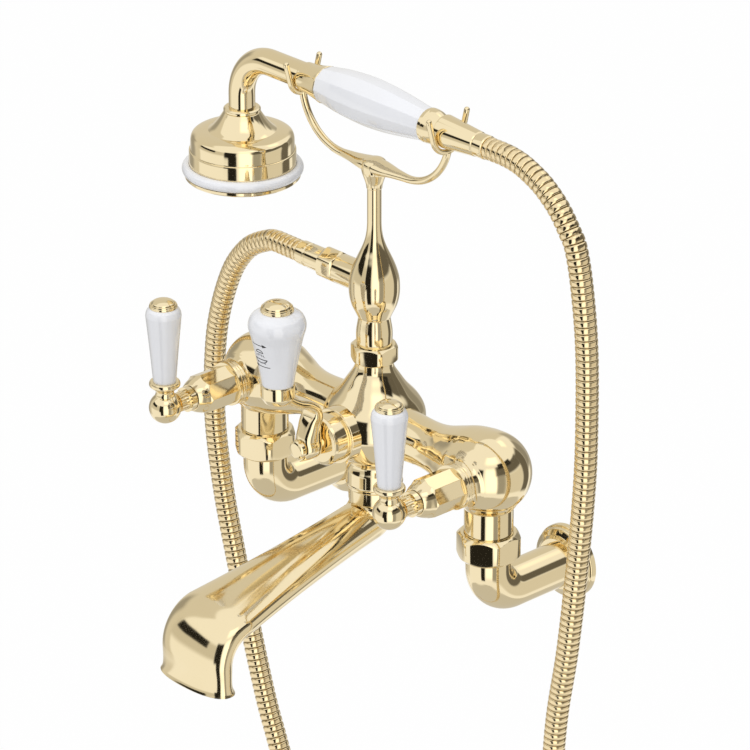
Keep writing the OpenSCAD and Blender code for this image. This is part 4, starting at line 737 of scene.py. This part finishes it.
piece("diverter_crank_arm", [loft(crank_rings), lathe(collar, knob_base)], GOLD, "diverter", ("diverter_crank",),
      sharp=50.0)
turned("diverter_cover", "diverter_bonnet", bonnet, facing(body_at, OUT), "mixer")
turned("diverter_button", "diverter_screw", screw, facing(body_at, OUT), "diverter")
glazed("diverter_porcelain", "diverter_grip", knob, knob_seat, "diverter", 128)
turned("diverter_top", "diverter_cap", cap_outline(9.0, 2.6, 3.3), knob_top, "diverter")
print("crank:", TRIANGLES["diverter_crank_arm"], "triangles")

# %% [markdown]
# ## Marks on the diverter knob
# The glaze carries small black marks that say which way the diverter turns: an arrow over
# the sign of a spray and an arrow under the sign of a tub. Each stroke is a thin bar laid
# on the knob, so its points are given along the surface: millimetres round and up.

# %% Marks on the diverter knob
INK_T, INK_STEP = 0.05, 0.4
knob_radii, knob_heights = zip(*knob_side)


def on_knob(u, v, lift):
    """Point on the glaze, u round from the front and v up, lifted off it."""
    r = float(np.interp(v, knob_heights, knob_radii))
    a = u / r
    return (math.sin(a) * (r + lift), FRONT - KNOB_OUT - math.cos(a) * (r + lift), AXIS + KNOB_SEAT + v)


def stroke(points, widths):
    """Thin bar along the points (round, up) on the knob; a width for each point or one for all."""
    p = np.asarray(points, float)
    widths = np.broadcast_to(np.asarray(widths, float), (len(p),))
    run = distances(p)
    steps = np.unique(np.concatenate([run, np.arange(0, run[-1], INK_STEP)]))
    p = np.column_stack([np.interp(steps, run, p[:, i]) for i in (0, 1)])
    t = headings(p)
    side = np.column_stack([-t[:, 1], t[:, 0]]) * np.interp(steps, run, widths)[:, None] / 2
    return loft([[on_knob(*(a + b), INK_T), on_knob(*(a - b), INK_T), on_knob(*(a - b), -INK_T),
                  on_knob(*(a + b), -INK_T)] for a, b in zip(p, side)])


def arrow(v, way):
    return [stroke([(-5.4 * way, v), (3.2 * way, v)], 0.42), stroke([(2.9 * way, v), (5.6 * way, v)], [2.1, 0.1])]


def round_line(v, wide, high, first, last):
    return [(wide * cosd(a), v + high * sind(a)) for a in np.linspace(first, last, 13)]


marks = arrow(27.3, 1) + arrow(14.2, -1)
marks += [stroke(round_line(22.9, 2.4, 1.5, 0, 180), 0.5), stroke([(-2.7, 22.8), (2.7, 22.8)], 0.5)]
marks += [stroke([(u * 1.1, 22.0 - 0.2 * abs(u)), (u * 1.5, 20.6 - 0.2 * abs(u))], 0.38) for u in (-2, -1, 0, 1, 2)]
marks += [stroke([(-4.6, 18.6), (4.6, 18.6)], 0.55), stroke(round_line(18.5, 4.0, 2.0, 180, 360), 0.5)]
marks += [stroke([(2.4 * way, 16.9), (2.9 * way, 16.1)], 0.5) for way in (-1, 1)]
piece("diverter_marks", marks, INK, "diverter", sharp=60.0)
print("marks:", len(marks), "strokes")

# %% [markdown]
# ## Pillar, outlet and cradle
# The pillar is turned: a waist above its nut, a bulb and a long slender neck. A boss to
# the left takes the hose. The cradle's arms are rods swept along one arc on each side,
# thick and leaf-like at the hub, and each fork is a rod bent in a U with round tips.

# %% Pillar and outlet
pillar_line = curve([(9.6, 46.5), (9.9, 48.5), (9.9, 54.0), (8.9, 61.0), (9.5, 63.0), (10.6, 65.4), (11.75, 67.8),
                     (12.65, 70.1), (13.55, 74.1), (13.9, 78.5), (13.6, 84.2), (12.5, 88.9), (10.8, 93.6),
                     (8.7, 98.3), (6.6, 102.9), (5.0, 107.6), (4.2, 112.2), (3.9, 116.5)], 8)
pillar = [(5.0, 43.0), (10.5, 43.0), (10.5, 44.5), (9.6, 44.5)] + pillar_line + [
    (3.9, 146.6), (0, 146.6), (0, 86), (5.0, 86), (5.0, 43.0)]
boss = rounded([(0, 0), (8.4, 0), (8.4, 26.2, 0.4), (7.4, 26.2), (7.4, 33), (5, 33)]) + [(5, 6), (0, 6)]
outlet_at = facing((0, FRONT, AXIS + 81.5), LEFT)
piece("pillar_column", [lathe(pillar, facing(body_at, UP), 128), lathe(boss, outlet_at)], GOLD, "mixer", ("pillar",))
dressed("pillar_nut", "mixer", bevel=0.3)
dressed("outlet_nut", "mixer", bevel=0.25)
lower = [(4, 34.5), (7.3, 34.5), (7.3, 36.1), (6.8, 36.1)] + rounded(
    [(6.8, 36.2), (6.8, 49.6, 0.2), (6.4, 50.2, 0.2), (6.4, 51.2, 0.2), (6.7, 51.8, 0.2), (6.7, 57.2, 0.5),
     (6.2, 58, 0.2), (4, 58)]) + [(4, 34.5)]
turned("lower_hose_ferrule", "lower_ferrule", lower, outlet_at, "mixer")
print("pillar:", TRIANGLES["pillar_column"], "triangles")

# %% Cradle
FORK_X, CRADLE_Z, GRIP_Z, ARM_BEND = 56.4, 149.6, 185.0, 32.2
WIRE_R, FORK_RISE, FORK_LEAN, FORK_ROOM = 1.6, 9.0, 75.0, 0.3
TUBE_R, REAR_R = 7.35, 9.0


def oval_rings(path, wide, tall, count=36):
    """Oval rings along a path in the plane of the cradle: wide goes front to back, tall across the path."""
    across = np.array((0.0, 1.0, 0.0))
    return [[c + w * math.cos(a) * across + h * math.sin(a) * np.cross(t, across) for a in around(count)]
            for c, t, w, h in zip(np.asarray(path, float), headings(path), wide, tall)]


def cradle_arm(side, fork_r):
    """Rod from the hub out and up to the fork, wide at the hub."""
    turn = math.degrees(math.acos(1 - (GRIP_Z - CRADLE_Z - fork_r) / ARM_BEND))
    straight = FORK_X - ARM_BEND * sind(turn)
    path = [(side * x, FRONT, AXIS + CRADLE_Z) for x in np.linspace(0, straight, 14)]
    path += arc_points((side * straight, FRONT, AXIS + CRADLE_Z + ARM_BEND), ARM_BEND, -90, turn - 90, 32,
                       (side, 0, 0), UP)[1:]
    stations = [0, 5, 10, 16, 24, 34, 90]
    wide = np.interp(distances(path), stations, [6.4, 6.3, 5.7, 4.2, 2.8, 2.15, 2.0])
    tall = np.interp(distances(path), stations, [4.4, 4.1, 3.2, 2.6, 2.2, 2.05, 2.0])
    return loft(oval_rings(path, wide, tall))


def cradle_fork(side, fork_r):
    """Rod bent in a U under the handset, with a round tip at each end."""
    bow = arc_points((side * FORK_X, FRONT, AXIS + GRIP_Z), fork_r, -165, -15, 36, (0, 1, 0), UP)
    rise = np.array((0, cosd(FORK_LEAN), sind(FORK_LEAN))) * (
        (FORK_RISE + fork_r * cosd(FORK_LEAN)) / sind(FORK_LEAN))
    front_tip, back_tip = bow[0] + rise * (0, -1, 1), bow[-1] + rise
    wire = [front_tip + (bow[0] - front_tip) * t for t in np.linspace(0, 1, 8)[:-1]] + bow + [
        bow[-1] + (back_tip - bow[-1]) * t for t in np.linspace(0, 1, 8)[1:]]
    dome = (4, 30, 55, 75)
    ends = [WIRE_R * sind(a) for a in dome]
    out = [WIRE_R * cosd(a) for a in dome]
    first = (wire[0] - wire[1]) / np.linalg.norm(wire[0] - wire[1])
    last = (wire[-1] - wire[-2]) / np.linalg.norm(wire[-1] - wire[-2])
    path = [wire[0] + first * d for d in out] + wire + [wire[-1] + last * d for d in reversed(out)]
    return loft(tube_rings(path, ends + [WIRE_R] * len(wire) + ends[::-1], 28))


funnel = curve([(4.3, 0.3), (4.45, 1.6), (4.9, 3.6), (5.9, 6.6), (6.8, 9.4), (7.1, 12.4), (6.6, 15.0), (4.6, 16.9),
                (0, 17.8)], 8)
hub = [(3.95, 0), (4.1, 0)] + funnel + [(0, 10), (3.95, 10), (3.95, 0)]
shells = [lathe(hub, facing((0, FRONT, AXIS + CRADLE_Z - 13), UP))]
for side, held in ((-1, TUBE_R), (1, REAR_R)):
    fork_r = held + FORK_ROOM + WIRE_R
    shells += [cradle_arm(side, fork_r), cradle_fork(side, fork_r)]
piece("cradle_rods", shells, GOLD, "mixer", ("cradle",), sharp=50.0)
print("cradle:", TRIANGLES["cradle_rods"], "triangles")

# %% [markdown]
# ## Handset
# The handset is a bent tube with a bell-shaped rose, a white ring round the rose, a
# barrel grip of porcelain between two collars and a conical nut that ends in the hose's
# ferrule. The grip has soft flats along it, as a cast and glazed piece has.

# %% Handset neck and rose
ROSE_X, ROSE_TOP, ROSE_FACE, NECK_BEND, RING_R = -106.3, -32.0, -73.0, 24.0, 3.04
GRIP_START, GRIP_END, GRIP_BORE = -37.0, 42.0, 4.55
hand_z = AXIS + GRIP_Z


def bent_neck():
    """Tube that rises from the rose and bends over to the grip."""
    bend_x = ROSE_X + NECK_BEND
    path = [(ROSE_X, FRONT, hand_z + z) for z in np.linspace(ROSE_TOP - 8, -NECK_BEND, 8)]
    path += arc_points((bend_x, FRONT, hand_z - NECK_BEND), NECK_BEND, 180, 90, 32, RIGHT, UP)[1:]
    path += [(x, FRONT, hand_z) for x in np.linspace(bend_x, GRIP_START - 5, 12)][1:]
    return loft(tube_rings(path, TUBE_R, 64))


piece("handset_bent_tube", [bent_neck()], GOLD, "handset", ("handset_neck",))
rose = rounded([(7.4, -8), (7.4, 0), (9.4, 0, 0.5), (10.3, -0.8, 0.6), (10.3, -2.0, 0.5), (10.0, -2.5, 0.2)])
rose += curve([(10.15, -2.6), (11.96, -5.6), (14.16, -8.6), (16.75, -11.5), (18.8, -13.1)], 6)
rose += curve([(18.95, -13.2), (21.4, -13.4), (23.85, -13.9), (25.9, -14.6), (27.56, -15.7), (28.35, -17.2),
               (28.66, -19.0), (28.78, -22.6), (28.8, -24.0)], 6)
rose += rounded([(28.8, -24.1), (28.95, -24.5, 0.2), (29.5, -24.7, 0.3), (29.6, -25.4, 0.3), (29.8, -37.8, 0.3),
                 (29.8, -38.2), (27.4, -38.2)])
rose += [(27.2, -21), (17, -15.8), (5.35, -15.8), (5.35, -8), (7.4, -8)]
turned("rose_bell", "head_bell", rose, facing((ROSE_X, FRONT, hand_z + ROSE_TOP), UP), "handset", 160)
ring = [(30.56 + RING_R * cosd(a), 2.2 + RING_R + RING_R * sind(a)) for a in np.linspace(-103, 103, 40)]
ring += [(29.85, ring[-1][1]), (29.85, ring[0][1]), ring[0]]
glazed("rose_white_ring", "head_ring", ring, facing((ROSE_X, FRONT, hand_z + ROSE_FACE), UP), "handset", 160)
dressed("spray_plate", "handset")
print("rose:", TRIANGLES["rose_bell"], "triangles")

# %% Handset grip and hose end
hand_at = facing((0, FRONT, hand_z), RIGHT)
front = [(7.4, -54.1)] + rounded([(7.8, -54.1), (8.15, -53.9, 0.2), (8.2, -53.2)]) + curve(
    [(8.2, -53.0), (8.25, -51.6), (8.6, -47.26), (9.66, -40.76), (10.35, -37.7)], 8)
front += [(10.42, -37.25), (10.25, GRIP_START), (GRIP_BORE, GRIP_START), (GRIP_BORE, -42.0), (7.4, -42.0),
          (7.4, -54.1)]
turned("front_collar", "handset_front_collar", front, hand_at, "handset")
grip = curve([(8.8 + 4.7 * s, GRIP_START + (GRIP_END - GRIP_START) * k) for k, s in
              ((0, 0.33), (0.09, 0.55), (0.2, 0.8), (0.41, 1), (0.61, 0.86), (0.8, 0.5), (1, 0.03))], 12)
grip = [(GRIP_BORE, GRIP_START)] + grip + [(GRIP_BORE, GRIP_END)]
glazed("handset_porcelain", "handset_grip", grip, hand_at, "handset", 160, flats=10, depth=0.038)
rear = [(GRIP_BORE, GRIP_END)] + rounded([(9.1, GRIP_END), (9.5, 42.4, 0.3), (9.5, 44.4, 0.5), (9.3, 45.2, 0.4)])
rear += curve([(9.3, 46.0), (8.9, 47.8), (8.1, 49.8), (7.3, 51.6), (7.05, 52.6), (7.0, 53.5)], 6)
rear += [(5.6, 53.5), (5.6, 65.5), (3.0, 65.5), (3.0, 52.4), (GRIP_BORE, 52.4), (GRIP_BORE, GRIP_END)]
turned("rear_collar", "handset_rear_collar", rear, hand_at, "handset")
cone = [(5.65, 53.5)] + rounded([(8.4, 53.5), (9.0, 54.1, 0.4), (8.95, 54.8, 0.4), (6.8, 79.4, 0.5), (6.3, 80.0),
                                 (5.25, 80.0)]) + [(5.25, 68.7), (5.65, 68.7), (5.65, 53.5)]
turned("conical_nut", "hose_cone", cone, hand_at, "handset")
upper = [(3.0, 67.0), (5.5, 67.0), (5.5, 68.6), (5.2, 68.6), (5.2, 80.0)] + rounded(
    [(6.2, 80.05), (6.5, 80.4, 0.2), (6.5, 86.4, 0.4), (6.0, 87.0), (4.0, 87.0)]) + [(4.0, 80), (3.0, 80), (3.0, 67.0)]
turned("upper_hose_ferrule", "upper_ferrule", upper, hand_at, "handset")
print("grip:", TRIANGLES["handset_porcelain"], "triangles")

# %% [markdown]
# ## Spout
# The spout starts round under its collar, flattens and widens along a straight run and
# turns down in a nose with a flared lip. It is a loft of superellipses whose width,
# thickness and squareness change along the middle line, with an inner wall for the mouth.

# %% Spout line
SPOUT_W, SPOUT_H, MOUTH, FALL, NOSE_R, NOSE_L = 51.0, 19.0, 18.0, 11.0, 20.0, 15.0
COLLAR_R, COLLAR_LOW, REACH, SQUARE, WALL = 14.4, -46.6, 130.0, 2.3, 2.0
SINK = 0.3  # the root starts this much inside its collar
half_root, half_end = SPOUT_H * 0.62, SPOUT_H / 2
root_r = COLLAR_R * 0.86
run_a = np.array((root_r * (1 - sind(FALL)), COLLAR_LOW - root_r * cosd(FALL)))
run_length = (REACH - NOSE_R * (1 - sind(FALL)) - run_a[0]) / cosd(FALL)
run_b = run_a + run_length * np.array((cosd(FALL), -sind(FALL)))


def spout_stations():
    """Centre, fall, half width, half thickness and squareness along the spout."""
    out = [((0, COLLAR_LOW + 2), 90.0, COLLAR_R - SINK, COLLAR_R - SINK, 2.0)]
    for t in np.linspace(0, 1, 16):
        a = 90 - (90 - FALL) * t
        out.append(((root_r * (1 - sind(a)), COLLAR_LOW - root_r * cosd(a)), a, COLLAR_R - SINK,
                    COLLAR_R - SINK - (COLLAR_R - half_root) * t, 2.0))
    for t in np.linspace(0, 1, 40)[1:]:
        sunk = SINK * (1 - t)
        out.append((run_a + (run_b - run_a) * t, FALL, COLLAR_R - sunk + (SPOUT_W / 2 - COLLAR_R) * t ** 1.5,
                    half_root - sunk + (half_end - half_root) * t, 2 + (SQUARE - 2) * t))
    for t in np.linspace(0, 1, 24)[1:]:
        a = FALL + (90 - FALL) * t
        out.append((run_b + NOSE_R * np.array((sind(a) - sind(FALL), cosd(a) - cosd(FALL))), a, SPOUT_W / 2,
                    half_end + (MOUTH / 2 + 0.6 - half_end) * t, SQUARE))
    foot = run_b[1] - NOSE_R * cosd(FALL)
    for k, wide in ((0.3, 0), (0.55, 0), (0.7, 0.12), (0.8, 0.3), (0.88, 0.6), (0.94, 1.0), (0.98, 1.45),
                    (1.0, 1.6)):
        out.append(((REACH, foot - NOSE_L * k), 90.0, SPOUT_W / 2 + wide,
                    MOUTH / 2 + wide + 0.6 * max(0, 0.55 - k), SQUARE))
    return out


def spout_ring(station, inset):
    centre, fall, half_w, half_t, square = station
    return bar_ring(centre, (cosd(fall), -sind(fall)), half_w - inset, half_t - inset, square, 96)


stations = spout_stations()
print("spout stations:", len(stations))

# %% Spout
skin = [spout_ring(s, 0) for s in stations] + [spout_ring(s, WALL) for s in reversed(stations)]
spigot = [(11.4, COLLAR_LOW)] + rounded(
    [(14.0, COLLAR_LOW), (14.4, COLLAR_LOW + 0.5, 0.3), (14.4, -39.2, 0.4), (13.9, -38.6, 0.2), (9.5, -38.6)])
spigot += [(9.5, -27.5), (6.1, -27.5), (6.1, -41.6), (11.4, -42.6), (11.4, COLLAR_LOW)]
piece("spout_arm_shell", [loft(skin, closed=True), lathe(spigot, facing(body_at, UP))], SPOUT_GOLD, "spout_arm",
      ("spout",), sharp=40.0)
print("spout:", TRIANGLES["spout_arm_shell"], "triangles")

# %% [markdown]
# ## Studio
# Polished metal is a picture of the room. The background and the floor are white, to the
# camera and in reflections. Round the object, out of the camera's sight, stand curved
# panels from white to black, as a photographer puts them up for silver and gold: without
# them every curve would be an even yellow. They show in reflections only and fade at
# their edges. The lamps are large and soft and light the porcelain; they don't show in
# reflections themselves, where their hard edges would look like cut paper, so the bright
# panels stand in for them.

# %% Room and floor
FLOOR_Z, FLOOR_HALF, FLOOR_WHITE, ROOM_LIGHT = -1.2, 8, 0.985, 0.56


def directly_seen(tree):
    """1 for the camera and for what metal and glass show, 0 for the light on the object."""
    ray = tree.nodes.new("ShaderNodeLightPath")
    seen = Socket(tree, ray.outputs["Is Camera Ray"])
    for kind in ("Is Glossy Ray", "Is Transmission Ray"):
        seen = seen.math("MAXIMUM", seen, Socket(tree, ray.outputs[kind]))
    return seen


def mixed(tree, amount, first, second, output):
    """Puts a Mix Shader of two shader nodes at a tree's output."""
    node = tree.nodes.new("ShaderNodeMixShader")
    tree.links.new(amount.socket, node.inputs[0])
    tree.links.new(first.outputs[0], node.inputs[1])
    tree.links.new(second.outputs[0], node.inputs[2])
    tree.links.new(node.outputs[0], output.inputs[0])


def stage_mesh(name, verts, faces, material, uvs=None):
    """Mesh that belongs to the studio and not to the object."""
    mesh = bpy.data.meshes.new(name)
    mesh.from_pydata(verts, [], faces)
    if uvs:
        layer = mesh.uv_layers.new(name="panel")
        for loop in mesh.loops:
            layer.data[loop.index].uv = uvs[loop.vertex_index]
    mesh.materials.append(material)
    made = bpy.data.objects.new(name, mesh)
    bpy.context.collection.objects.link(made)
    return made


scene = bpy.context.scene
scene.view_settings.view_transform = "Standard"
scene.world = bpy.data.worlds.new("studio")
scene.world.use_nodes = True
tree = scene.world.node_tree
tree.nodes.clear()
room, back = (tree.nodes.new("ShaderNodeBackground") for _ in range(2))
for node, strength in ((room, ROOM_LIGHT), (back, 1.0)):
    node.inputs["Color"].default_value = (1, 1, 1, 1)
    node.inputs["Strength"].default_value = strength
mixed(tree, directly_seen(tree), room, back, tree.nodes.new("ShaderNodeOutputWorld"))
floor = Finish("pale_floor")
floor.set(Base_Color=floor.mix(floor.noise(6.0), (0.90, 0.90, 0.90), (0.93, 0.93, 0.93)), Roughness=0.6)
mixed(floor.tree, directly_seen(floor.tree) * FLOOR_WHITE, floor.shader, floor.node("ShaderNodeEmission"),
      floor.tree.nodes["Material Output"])
floor.material.cycles.emission_sampling = "NONE"
stage_mesh("floor", [(x * FLOOR_HALF, y * FLOOR_HALF, FLOOR_Z) for x, y in ((-1, -1), (1, -1), (1, 1), (-1, 1))],
           [(0, 1, 2, 3)], floor.material)
print("floor at", FLOOR_Z, "m")


# %% Panels
PANEL_STEPS, SHEET_R, SHEET_SIDES = 14, 1.25, 48
WARM, WARMER = (1, 0.965, 0.885), (1, 0.92, 0.78)


def panel_finish(name, shade, soft):
    """Even shade that fades out towards the panel's own edges and lights nothing by itself."""
    finish = Finish(name)
    split = finish.node("ShaderNodeSeparateXYZ", Vector=finish.out(finish.node("ShaderNodeTexCoord"), "UV"))
    cover = 1.0
    for i, width in enumerate(soft):
        t = finish.out(split, i)
        edge = t.math("MINIMUM", t, 1 - t)
        edge = edge.math("MINIMUM", edge * (1 / width), 1.0)
        cover = edge * edge * (3 - 2 * edge) * cover
    mixed(finish.tree, cover, finish.node("ShaderNodeBsdfTransparent"),
          finish.node("ShaderNodeEmission", Color=(*shade, 1)), finish.tree.nodes["Material Output"])
    finish.material.cycles.emission_sampling = "NONE"
    return finish.material


def unseen(made):
    """Leaves a stage piece to the reflections alone."""
    made.visible_camera = made.visible_diffuse = made.visible_shadow = made.visible_transmission = False


def panel(name, azimuths, elevations, level, soft=(0.12, 0.1), distance=1.6):
    """Upright curved panel; azimuths as the camera's, elevations from the body, both in degrees."""
    shade = [level * c for c in (WARMER if level < 0.3 else WARM)]
    verts, uvs = [], []
    for i in range(PANEL_STEPS + 1):
        a = azimuths[0] + (azimuths[1] - azimuths[0]) * i / PANEL_STEPS
        for k, e in enumerate(elevations):
            z = max(AXIS * MM + distance * math.tan(math.radians(e)), FLOOR_Z + 0.01)
            verts.append((distance * sind(a), FRONT * MM - distance * cosd(a), z))
            uvs.append((i / PANEL_STEPS, k))
    faces = [(2 * i, 2 * i + 2, 2 * i + 3, 2 * i + 1) for i in range(PANEL_STEPS)]
    unseen(stage_mesh(name, verts, faces, panel_finish(name, shade, soft), uvs))


panel("window_light", (34, 72), (-40, 36), 1.6, (0.22, 0.2), 1.7)
panel("upper_light", (25, 90), (36, 64), 1.6, (0.3, 0.3), 1.7)
panel("back_light", (158, 202), (45, 63), 1.4, (0.3, 0.3), 1.7)
panel("right_grey", (65, 98), (-40, 18), 0.38, (0.22, 0.15))
panel("right_pale", (84, 152), (-40, 14), 0.74, (0.15, 0.15))
panel("right_dim", (60, 154), (8, 37), 0.14, (0.12, 0.2), 1.55)
panel("black_bar", (70, 124), (26, 43), 0.03, (0.15, 0.25), 1.5)
panel("back_dark", (141, 174), (-40, 35), 0.15, (0.2, 0.12), 1.55)
panel("back_side", (167, 195), (-17, 30), 0.3, (0.25, 0.2), 1.55)
panel("back_grey", (180, 216), (-40, 30), 0.45, (0.2, 0.2))
panel("left_pale", (-158, -56), (-40, 58), 0.72, (0.06, 0.1), 1.65)
panel("left_stripe", (-112, -72), (-34, 29), 0.38, (0.35, 0.2), 1.55)
panel("front_left", (-66, 8), (-11, 27), 0.66, (0.1, 0.25))
panel("left_flag", (-59, -15), (8, 24), 0.02, (0.08, 0.18), 1.5)
panel("black_card", (11, 34), (-40, -4), 0.02, (0.16, 0.12), 1.52)
panel("black_card_top", (2, 34), (-16, 31), 0.02, (0.14, 0.16), 1.51)
rim = [(math.cos(a), math.sin(a)) for a in around(SHEET_SIDES)]
unseen(stage_mesh("grey_sheet", [(SHEET_R * x, FRONT * MM + SHEET_R * y, FLOOR_Z + 0.02) for x, y in rim],
                  [tuple(range(SHEET_SIDES))], panel_finish("grey_sheet", (0.62, 0.61, 0.59), (0.1, 0.1)),
                  [(0.5 + 0.5 * x, 0.5 + 0.5 * y) for x, y in rim]))
print("panels standing")


# %% Lamps
def lamp(name, azimuth, elevation, distance, size, radiance):
    """Rectangular soft lamp that faces the body; its brightness is given as it looks."""
    out = Vector((sind(azimuth) * cosd(elevation), -cosd(azimuth) * cosd(elevation), sind(elevation)))
    data = bpy.data.lights.new(name, "AREA")
    data.shape, data.size, data.size_y = "RECTANGLE", *size
    data.energy = radiance * math.pi * size[0] * size[1]
    made = bpy.data.objects.new(name, data)
    made.location = Vector((0, FRONT * MM, AXIS * MM)) + out * distance
    made.rotation_euler = (-out).to_track_quat("-Z", "Y").to_euler()
    bpy.context.collection.objects.link(made)
    made.visible_camera = made.visible_glossy = False


lamp("window", 50, 4, 1.9, (0.95, 2.2), 1.15)
lamp("upper_left", -40, 46, 2.0, (0.9, 0.9), 1.4)
lamp("upper_back", 180, 56, 2.0, (0.9, 0.7), 1.2)
lamp("upper_right", 60, 57, 2.0, (1.3, 0.6), 1.4)
lamp("above", 0, 66, 2.2, (1.3, 1.3), 2.9)
print("lamps lit")

# %% [markdown]
# ## Totals
# The finished pieces and their triangles are counted.

# %% Finish
print("pieces:", len(TRIANGLES), "triangles:", sum(TRIANGLES.values()))
